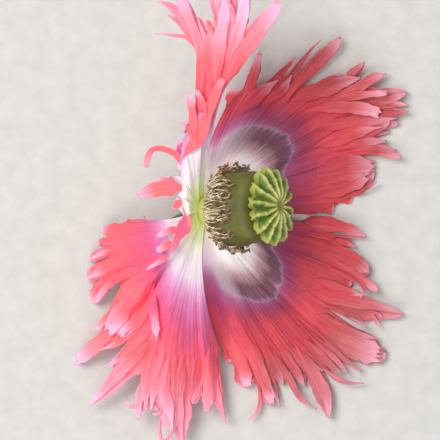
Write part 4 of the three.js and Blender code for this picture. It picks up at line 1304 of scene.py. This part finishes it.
upper_left["straps"] = [
    strap([(213, 112), (211, 85), (208, 60), (204, 40), (198, 20)], [9, 12, 11, 8, 3], 0.4),
    strap([(214, 70), (213, 50), (211, 36), (206, 22)], [8, 9, 7, 3], 0.35, pale=(0.7, 0.6)),
    strap([(208, 96), (204, 68), (198, 44), (192, 26), (184, 8), (178, -8)],
          [7, 10, 10, 9, 11, 12], 0.7, pale=(0.35, 1.1), tone=0.04),
    strap([(203, 62), (192, 38), (181, 20), (171, 9), (159, 4)], [6, 7, 7, 6, 2.5], 0.4, pale=(0.6, 0.9)),
    strap([(199, 50), (189, 36), (178, 24), (168, 17)], [4, 4, 3, 1.5], 0.3),
    strap([(200, 54), (190, 40), (184, 33), (178, 28)], [4, 3, 2.5, 1.5], 0.3),
    strap([(202, 58), (188, 41), (173, 37), (156, 35)], [4, 3, 2.5, 1.5], 0.3, pale=(0.4, 1)),
    strap([(217, 104), (216, 78), (218, 52), (223, 26), (227, -4)],
          [9, 13, 14, 12, 10], 0.6, pale=(0.3, 1.0), tone=0.05),
    strap([(222, 58), (220, 34), (216, 14), (210, -6)], [7, 8, 9, 8], 0.4, pale=(0.5, 0.9)),
    strap([(222, 84), (228, 60), (236, 40), (242, 20), (246, -6)],
          [8, 12, 12, 11, 10], 0.6, pale=(0.25, 1.2), tone=0.06),
    strap([(224, 60), (229, 42), (231, 24), (229, 8)], [5, 6, 5, 2], 0.4, pale=(0.3, 1)),
    strap([(236, 40), (235, 22), (231, 10), (226, 3)], [5, 4, 3, 1.5], 0.9, pale=(0.1, 1.2)),
    strap([(219, 102), (229, 77), (243, 55), (260, 32), (279, 4)],
          [7, 11, 14, 16, 11], 0.7, pale=(0.5, 1.0)),
    strap([(182, 160, 23.6), (188, 151, 25.2), (197, 141, 26.0), (204, 125, 26.6),
           (210, 110, 26.8), (216, 94, 26.9), (224, 78, 27)],
          [5, 13, 15, 12, 10, 10, 8], zone=(2.9, 3), pale=(0.8, 0.4), tone=0.04),
    strap([(197, 144, 26.4), (194, 127, 26.8), (192, 110, 27.0), (187, 94, 26.6)],
          [5, 7, 8, 5], zone=(2.8, 3), pale=(0.6, 0.9)),
    strap([(207, 120, 27.0), (204, 106, 27.2), (200, 98, 27.2), (197, 91, 27.0)],
          [6, 6, 5, 3], zone=(2.8, 3), pale=(0.3, 0.9)),
    strap([(194, 140, 26.4), (188, 130, 26.2), (183, 122, 26.0)],
          [4, 3, 1.5], zone=(2.8, 3), pale=(0.4, 1)),
    strap([(187, 184, 20), (187, 170, 21.6), (182, 160, 22), (173, 153, 21.5), (161, 149, 20),
           (152, 151, 18.6), (148, 159, 17.4), (146, 168, 16.4)],
          [7, 9, 9, 7, 6, 6, 6, 6], zone=(2.4, 3), pale=(0.6, 0.8)),
    strap([(186, 190, 21.8), (174, 188, 20.6), (156, 190, 17.4), (138, 197, 14.8)],
          [12, 15, 13, 8], zone=(2.4, 3), pale=(0.6, 0.8)),
    strap([(182, 186, 21.4), (168, 182, 19.4), (153, 181, 16.8)], [8, 7, 4], zone=(2.5, 3), pale=(0.5, 1)),
    strap([(184, 200, 20.0), (177, 205, 19.4), (173, 209, 18.6)],
          [8, 7, 2], zone=(2.3, 3), pale=(0.7, 0.6)),
    strap([(180, 166, 23.0), (185, 148, 25.0), (194, 128, 26.2), (204, 112, 26.6)],
          [4, 7, 8, 5], zone=(1.15, 1.3), pale=(0.9, 0.1)),
]
print("straps of the left petals:", len(lower_left["straps"]) + len(upper_left["straps"]))

# %% Building the petals
THICKNESS = 0.2
petals = {
    "petal_upper_right": upper_right,
    "petal_lower_right": lower_right,
    "petal_lower_left": lower_left,
    "petal_upper_left": upper_left,
}
for name, petal in petals.items():
    rng = np.random.default_rng(petal["seed"])
    sheet = Sheet(THICKNESS, petal["light"])
    add_fan(sheet, petal, rng, "fan")
    cloud = np.vstack(sheet.points)
    for k, facts in enumerate(petal["straps"]):
        add_strap(sheet, petal, cloud, facts, rng, f"strap {k}")
    blade = sheet.mesh(name + "_blade", petal["floor"])
    put(name + "_blade", blade, petal_skin, name)

# %% [markdown]
# ## Stamens and stem with Geometry Nodes
# What repeats along a path is made by a node group: a tube is swept along each curve, and small
# shapes are set on it with a fixed seed. The group has named inputs, so its numbers can be
# changed in one place. Its result is turned into a plain mesh at the end, so that the piece needs
# no live modifier.


# %% A small builder for node groups
class Growth:
    """A geometry node group with named inputs."""

    def __init__(self, name):
        self.tree = bpy.data.node_groups.new(name, "GeometryNodeTree")
        self.tree.interface.new_socket("Geometry", in_out="INPUT", socket_type="NodeSocketGeometry")
        self.tree.interface.new_socket("Geometry", in_out="OUTPUT", socket_type="NodeSocketGeometry")
        self.start = self.tree.nodes.new("NodeGroupInput")
        self.end = self.tree.nodes.new("NodeGroupOutput")
        self.values = {}

    def input(self, name, kind, value):
        """Adds a named input and keeps its value for the modifier."""
        made = self.tree.interface.new_socket(name, in_out="INPUT", socket_type="NodeSocket" + kind)
        self.values[made.identifier] = value
        return self.start.outputs[name]

    def node(self, kind, settings=None, sockets=None, out=0):
        """Adds a node and returns one of its outputs."""
        made = self.tree.nodes.new(kind)
        for key, value in (settings or {}).items():
            setattr(made, key, value)
        for key, value in (sockets or {}).items():
            if isinstance(value, bpy.types.NodeSocket):
                self.tree.links.new(value, made.inputs[key])
            else:
                made.inputs[key].default_value = value
        return made.outputs[out]

    def tube(self, curves, radius, sides, caps):
        """A round tube swept along curves."""
        ring = self.node("GeometryNodeCurvePrimitiveCircle", None, {"Resolution": sides, "Radius": radius})
        sockets = {"Curve": curves, "Profile Curve": ring, "Fill Caps": caps}
        return self.node("GeometryNodeCurveToMesh", None, sockets)

    def random_vector(self, low, high, seed):
        """A vector for each point, between two vectors."""
        sockets = {"Min": low, "Max": high, "Seed": seed}
        return self.node("FunctionNodeRandomValue", {"data_type": "FLOAT_VECTOR"}, sockets)

    def pointed(self, vector):
        """The rotation that turns Z to a direction."""
        return self.node("FunctionNodeAlignRotationToVector", {"axis": "Z"}, {"Vector": vector})

    def twisted(self, rotation, twist):
        """A rotation, turned further about its own axes."""
        sockets = {"Rotation": rotation, "Rotate By": twist}
        return self.node("FunctionNodeRotateRotation", {"rotation_space": "LOCAL"}, sockets)

    def set_on(self, points, shape, rotation, **others):
        """A shape set on each point, as real geometry."""
        sockets = {"Points": points, "Instance": shape, "Rotation": rotation, **others}
        copies = self.node("GeometryNodeInstanceOnPoints", None, sockets)
        return self.node("GeometryNodeRealizeInstances", None, {"Geometry": copies})

    def vectors(self, operation, sockets):
        """A sum on vectors."""
        return self.node("ShaderNodeVectorMath", {"operation": operation}, sockets)

    def label(self, geometry, name, value):
        """Keeps a number on every point, for the finish to read."""
        settings = {"data_type": "FLOAT", "domain": "POINT"}
        sockets = {"Geometry": geometry, "Name": name, "Value": value}
        return self.node("GeometryNodeStoreNamedAttribute", settings, sockets)

    def joined(self, *parts):
        """Several geometries as one."""
        both = self.node("GeometryNodeJoinGeometry")
        for part in parts:
            self.tree.links.new(part, both.node.inputs["Geometry"])
        return both

    def grown(self, name, source, geometry, finish):
        """The finished plain mesh, grown from the source object."""
        material = self.input("Finish", "Material", finish)
        real = self.node("GeometryNodeRealizeInstances", None, {"Geometry": geometry})
        dressed = self.node("GeometryNodeSetMaterial", None, {"Geometry": real, "Material": material})
        self.tree.links.new(dressed, self.end.inputs["Geometry"])
        modifier = source.modifiers.new(name, "NODES")
        modifier.node_group = self.tree
        for identifier, value in self.values.items():
            modifier[identifier] = value
        bpy.context.view_layer.update()
        evaluated = source.evaluated_get(bpy.context.evaluated_depsgraph_get())
        made = bpy.data.meshes.new_from_object(evaluated)
        made.name = name
        source.modifiers.clear()
        bpy.data.objects.remove(source)
        return made


def curve_object(name, paths):
    """Plain curves, in metres, as the source of a node group. Each path is (points, radii) in millimetres."""
    data = bpy.data.curves.new(name, "CURVE")
    data.dimensions = "3D"
    for points, radii in paths:
        spline = data.splines.new("POLY")
        spline.points.add(len(points) - 1)
        spline.points.foreach_set("co", np.c_[(points + SHIFT) * MM, np.ones(len(points))].reshape(-1))
        spline.points.foreach_set("radius", np.asarray(radii, float))
    made = bpy.data.objects.new(name, data)
    bpy.context.collection.objects.link(made)
    return made


print("the node group builder is ready")

# %% [markdown]
# ## Stamens
# The stamens of an open poppy have withered. Each thread leaves a ring below the capsule, follows
# the capsule's foot and ends in a shrunken brown anther. The cells below give the paths, and the
# node group sweeps a thin tube along each one and sets a wrinkled anther on its end.

# %% Stamen paths
STAMENS = 225
STAMEN_POINTS = 19
STAMEN_FOOT = 0.9
STAMEN_RING = 2.95
STAMEN_REACH = (3.8, 9.2)
UPPER_REACH = 3.8


def beside_capsule(distance, clear, angle):
    """A point at a clearance from the capsule's wall."""
    slope = (capsule_radius(distance + 0.05) - capsule_radius(distance - 0.05)) / 0.1
    tilt = np.arctan(slope)
    radius = capsule_radius(distance) + clear * np.cos(tilt)
    return around_axis(distance - clear * np.sin(tilt), radius, angle)


rng = np.random.default_rng(21)
stamen_paths = []
for i in range(STAMENS):
    angle = 360 * i / STAMENS + rng.uniform(-5, 5)
    lean = rng.normal(0, 6)
    facing_up = 0.5 + 0.5 * math.sin(math.radians(angle))
    reach = rng.uniform(*STAMEN_REACH) + UPPER_REACH * facing_up * rng.uniform(0.35, 1)
    layer = rng.uniform(0.0, 1.15)
    stations = [around_axis(STAMEN_FOOT, STAMEN_RING, angle)]
    for part in (0.12, 0.3, 0.5, 0.75, 0.9, 1.0):
        clear = 0.4 + layer * part + rng.uniform(-0.1, 0.1)
        wander = rng.uniform(-1.8, 1.8) * part
        distance = CAPSULE_NECK + (reach - CAPSULE_NECK) * part
        stations.append(beside_capsule(distance, clear, angle + lean * part + wander))
    radii = np.linspace(1.0, 0.6, STAMEN_POINTS) * rng.uniform(0.7, 1.15)
    stamen_paths.append((smooth_curve(stations, STAMEN_POINTS), radii))
print(len(stamen_paths), "stamen paths")

# %% Stamen finish
stamen_finish = Finish("withered stamens")
place = stamen_finish.place()
grain = stamen_finish.noise(place, 900.0, 3.0)
blotch = stamen_finish.noise(place, 300.0, 2.0)
thread = stamen_finish.ramp(blotch, [(0.35, "cdbf94"), (0.6, "f0e8c8")])
pollen = stamen_finish.ramp(grain, [(0.32, "6a4c3c"), (0.55, "966f5c"), (0.75, "bd9c88")])
skin = stamen_finish.mix(thread, pollen, stamen_finish.number("anther"))
skin = stamen_finish.mix(skin, colour("d6e27e"), stamen_finish.number("collar"))
stamen_skin = stamen_finish.surface(skin, 0.7 + (grain - 0.5) * 0.2, grain, 0.6, 0.0002)
print("stamen finish:", stamen_skin.name)

# %% Threads and anthers grown along the paths
stamens = Growth("stamens")
thread_radius = stamens.input("Thread radius", "Float", 0.1 * MM)
anther_size = stamens.input("Anther size", "Vector", (0.26 * MM, 0.2 * MM, 0.95 * MM))
seed = stamens.input("Seed", "Int", 3)
curves = stamens.start.outputs["Geometry"]
tube = stamens.label(stamens.tube(curves, thread_radius, 6, True), "anther", 0.0)
ends = stamens.node("GeometryNodeCurveEndpointSelection", None, {"Start Size": 0, "End Size": 1})
thread_way = stamens.pointed(stamens.node("GeometryNodeInputTangent"))
turned = stamens.twisted(thread_way, stamens.random_vector((-0.9, -0.9, -3), (0.9, 0.9, 3), seed))
anther = stamens.node("GeometryNodeMeshIcoSphere", None, {"Radius": 1.0, "Subdivisions": 3})
stretch = stamens.random_vector((0.75, 0.75, 0.6), (1.2, 1.2, 1.3), seed)
size = stamens.vectors("MULTIPLY", {0: stretch, 1: anther_size})
heads = stamens.set_on(curves, anther, turned, Selection=ends, Scale=size)
print("inputs so far:", len(stamens.values))

# %% Wrinkled anthers
WRINKLE = 0.55 * MM
sockets = {"Vector": stamens.node("GeometryNodeInputPosition"), "Scale": 1400.0, "Detail": 2.0}
wrinkle = stamens.node("ShaderNodeTexNoise", None, sockets, "Color")
centred = stamens.vectors("SUBTRACT", {0: wrinkle, 1: (0.5, 0.5, 0.5)})
moved = stamens.vectors("SCALE", {0: centred, "Scale": WRINKLE})
heads = stamens.node("GeometryNodeSetPosition", None, {"Geometry": heads, "Offset": moved})
heads = stamens.label(heads, "anther", 1.0)
print("wrinkles move an anther's skin by up to", round(WRINKLE / MM / 2, 3), "mm each way")

# %% The collar, and the stamens as one mesh
COLLAR_DISTANCE = 0.55
collar_radius = stamens.input("Collar radius", "Float", 3.0 * MM)
collar_width = stamens.input("Collar width", "Float", 0.62 * MM)
around = stamens.node("GeometryNodeCurvePrimitiveCircle", None, {"Resolution": 96, "Radius": collar_radius})
collar = stamens.tube(around, collar_width, 16, False)
centre = tuple(float(v) for v in (RECEPTACLE + SHIFT + along * COLLAR_DISTANCE) * MM)
upright = stamens.pointed(tuple(map(float, along)))
sockets = {"Geometry": collar, "Translation": centre, "Rotation": upright}
collar = stamens.label(stamens.node("GeometryNodeTransform", None, sockets), "collar", 1.0)
whole = stamens.joined(tube, heads, collar)
stamens_mesh = stamens.grown("stamens", curve_object("stamen paths", stamen_paths), whole, stamen_skin)
put("withered_stamens", stamens_mesh, stamen_skin, "stamens")

# %% [markdown]
# ## The stem
# The cut stem bends down behind the lower left petal and lies on the table. It is a tube swept
# along its path, with the receptacle, a small cup, at its head. Short stiff hairs stand on it,
# scattered with a fixed seed, and none of them stands where the stem touches the table.

# %% The stem's path
STEM_RADIUS = 2.0
STEM_POINTS = 90
RECEPTACLE_RADIUS = 2.55
stations = [
    around_axis(STAMEN_FOOT, 0, 0), around_axis(-2.2, 0, 0), (-8.4, -3.2, 7.4), (-14.6, -6.6, 3.2),
    (-18.6, -9.8, STEM_RADIUS + 0.1), (-21.6, -13.6, STEM_RADIUS + 0.05),
]
stem_line = smooth_curve(stations, STEM_POINTS)
stem_share = np.linspace(0, 1, STEM_POINTS)
cup = 1 + (RECEPTACLE_RADIUS / STEM_RADIUS - 1) * np.exp(-((stem_share - 0.06) / 0.09) ** 2)
stem_radii = STEM_RADIUS * cup
stem_radii[-1] *= 0.93
stem_length = float(np.linalg.norm(np.diff(stem_line, axis=0), axis=1).sum())
print("stem length:", round(stem_length, 1), "mm")

# %% Stem finish
stem_finish = Finish("stem")
grain = stem_finish.noise(stem_finish.place(), 350.0, 3.0)
skin = stem_finish.ramp(grain, [(0.32, "2f5a2e"), (0.55, "44703c"), (0.75, "6a8f56")])
skin = stem_finish.mix(skin, colour("a9b58c"), stem_finish.number("hair") * 0.8)
stem_skin = stem_finish.surface(skin, 0.55 + (grain - 0.5) * 0.2, grain, 0.4, 0.0002)
print("stem finish:", stem_skin.name)

# %% Stem and hairs grown along the path
HAIR_TIP, HAIR_ROOT = 0.012 * MM, 0.05 * MM
HAIR_FLOOR = 0.9 * MM
stem = Growth("stem")
stem_width = stem.input("Width", "Float", MM)
hair_length = stem.input("Hair length", "Float", 0.62 * MM)
hair_density = stem.input("Hairs per square metre", "Float", 1.1e6)
seed = stem.input("Seed", "Int", 5)
tube = stem.label(stem.tube(stem.start.outputs["Geometry"], stem_width, 40, True), "hair", 0.0)
height = stem.node("ShaderNodeSeparateXYZ", None, {"Vector": stem.node("GeometryNodeInputPosition")}, "Z")
settings = {"data_type": "FLOAT", "operation": "GREATER_THAN"}
clear = stem.node("FunctionNodeCompare", settings, {"A": height, "B": HAIR_FLOOR})
sockets = {"Mesh": tube, "Selection": clear, "Density": hair_density, "Seed": seed}
spots = stem.node("GeometryNodeDistributePointsOnFaces", None, sockets)
lean = stem.random_vector((-0.45, -0.45, 0), (0.45, 0.45, 6), seed)
turned = stem.twisted(spots.node.outputs["Rotation"], lean)
sockets = {"Vertices": 5, "Radius Top": HAIR_TIP, "Radius Bottom": HAIR_ROOT, "Depth": hair_length}
hairs = stem.set_on(spots, stem.node("GeometryNodeMeshCone", None, sockets), turned)
whole = stem.joined(tube, stem.label(hairs, "hair", 1.0))
stem_mesh = stem.grown("stem", curve_object("stem path", [(stem_line, stem_radii)]), whole, stem_skin)
put("hairy_stem", stem_mesh, stem_skin, "stem")

# %% [markdown]
# ## Table, light and camera
# The flower lies on a plain pale table. A large soft lamp at the upper left lights the two left
# petals, as in a room with one window. A weaker lamp below the picture and an even, pale room
# fill the shadows. The camera looks straight down from far away, so the petals keep their true
# proportions, and its lens is chosen so that the picture is as wide as the measured one.

# %% Table
TABLE_HALF = 3
corners = [(x * TABLE_HALF, y * TABLE_HALF, 0) for x, y in ((-1, -1), (1, -1), (1, 1), (-1, 1))]
table = bpy.data.meshes.new("table")
table.from_pydata(corners, [], [(0, 1, 2, 3)])
table_finish = Finish("pale table")
grain = table_finish.noise(table_finish.place(), 260.0, 3.0)
paper = table_finish.ramp(grain, [(0.3, "c9c7c3"), (0.7, "d3d1cd")])
table.materials.append(table_finish.surface(paper, 0.8, grain, 0.08, 0.0001))
table_object = bpy.data.objects.new("table", table)
bpy.context.collection.objects.link(table_object)
print("the table is", 2 * TABLE_HALF, "m wide")

# %% Light
ROOM_STRENGTH = 0.45
LIT_SPOT = (0, 0, 0.01)
world = bpy.data.worlds.new("room")
bpy.context.scene.world = world
world.use_nodes = True
room = world.node_tree.nodes["Background"].inputs
room["Color"].default_value = (1.0, 1.0, 1.0, 1)
room["Strength"].default_value = ROOM_STRENGTH


def lamp(name, place, size, power, tint):
    """A square soft lamp that looks at the flower. Its size and place are metres, its power watts."""
    data = bpy.data.lights.new(name, "AREA")
    data.size = size
    data.energy = power
    data.color = tint
    made = bpy.data.objects.new(name, data)
    made.location = place
    made.rotation_euler = (Vector(LIT_SPOT) - Vector(place)).to_track_quat("-Z", "Y").to_euler()
    bpy.context.collection.objects.link(made)


lamp("window", (-0.62, 0.35, 1.15), 0.7, 13.0, (1.0, 0.985, 0.96))
lamp("fill", (-0.35, -0.8, 1.0), 0.9, 6.0, (0.97, 0.98, 1.0))
print("two lamps")

# %% Camera
CAMERA_HEIGHT = 2.4
SENSOR = 36.0
camera_data = bpy.data.cameras.new("camera")
camera_data.sensor_width = SENSOR
camera_data.lens = SENSOR * CAMERA_HEIGHT / (PICTURE_STEPS * STEP * MM)
camera_data.clip_end = 10.0
camera = bpy.data.objects.new("camera", camera_data)
aim = (from_picture(PICTURE_STEPS / 2, PICTURE_STEPS / 2, 0) + SHIFT) * MM
camera.location = (aim[0], aim[1], CAMERA_HEIGHT)
bpy.context.collection.objects.link(camera)
bpy.context.scene.camera = camera
bpy.context.scene.view_settings.view_transform = "Standard"
print("camera above", np.round(aim / MM, 2), "mm")
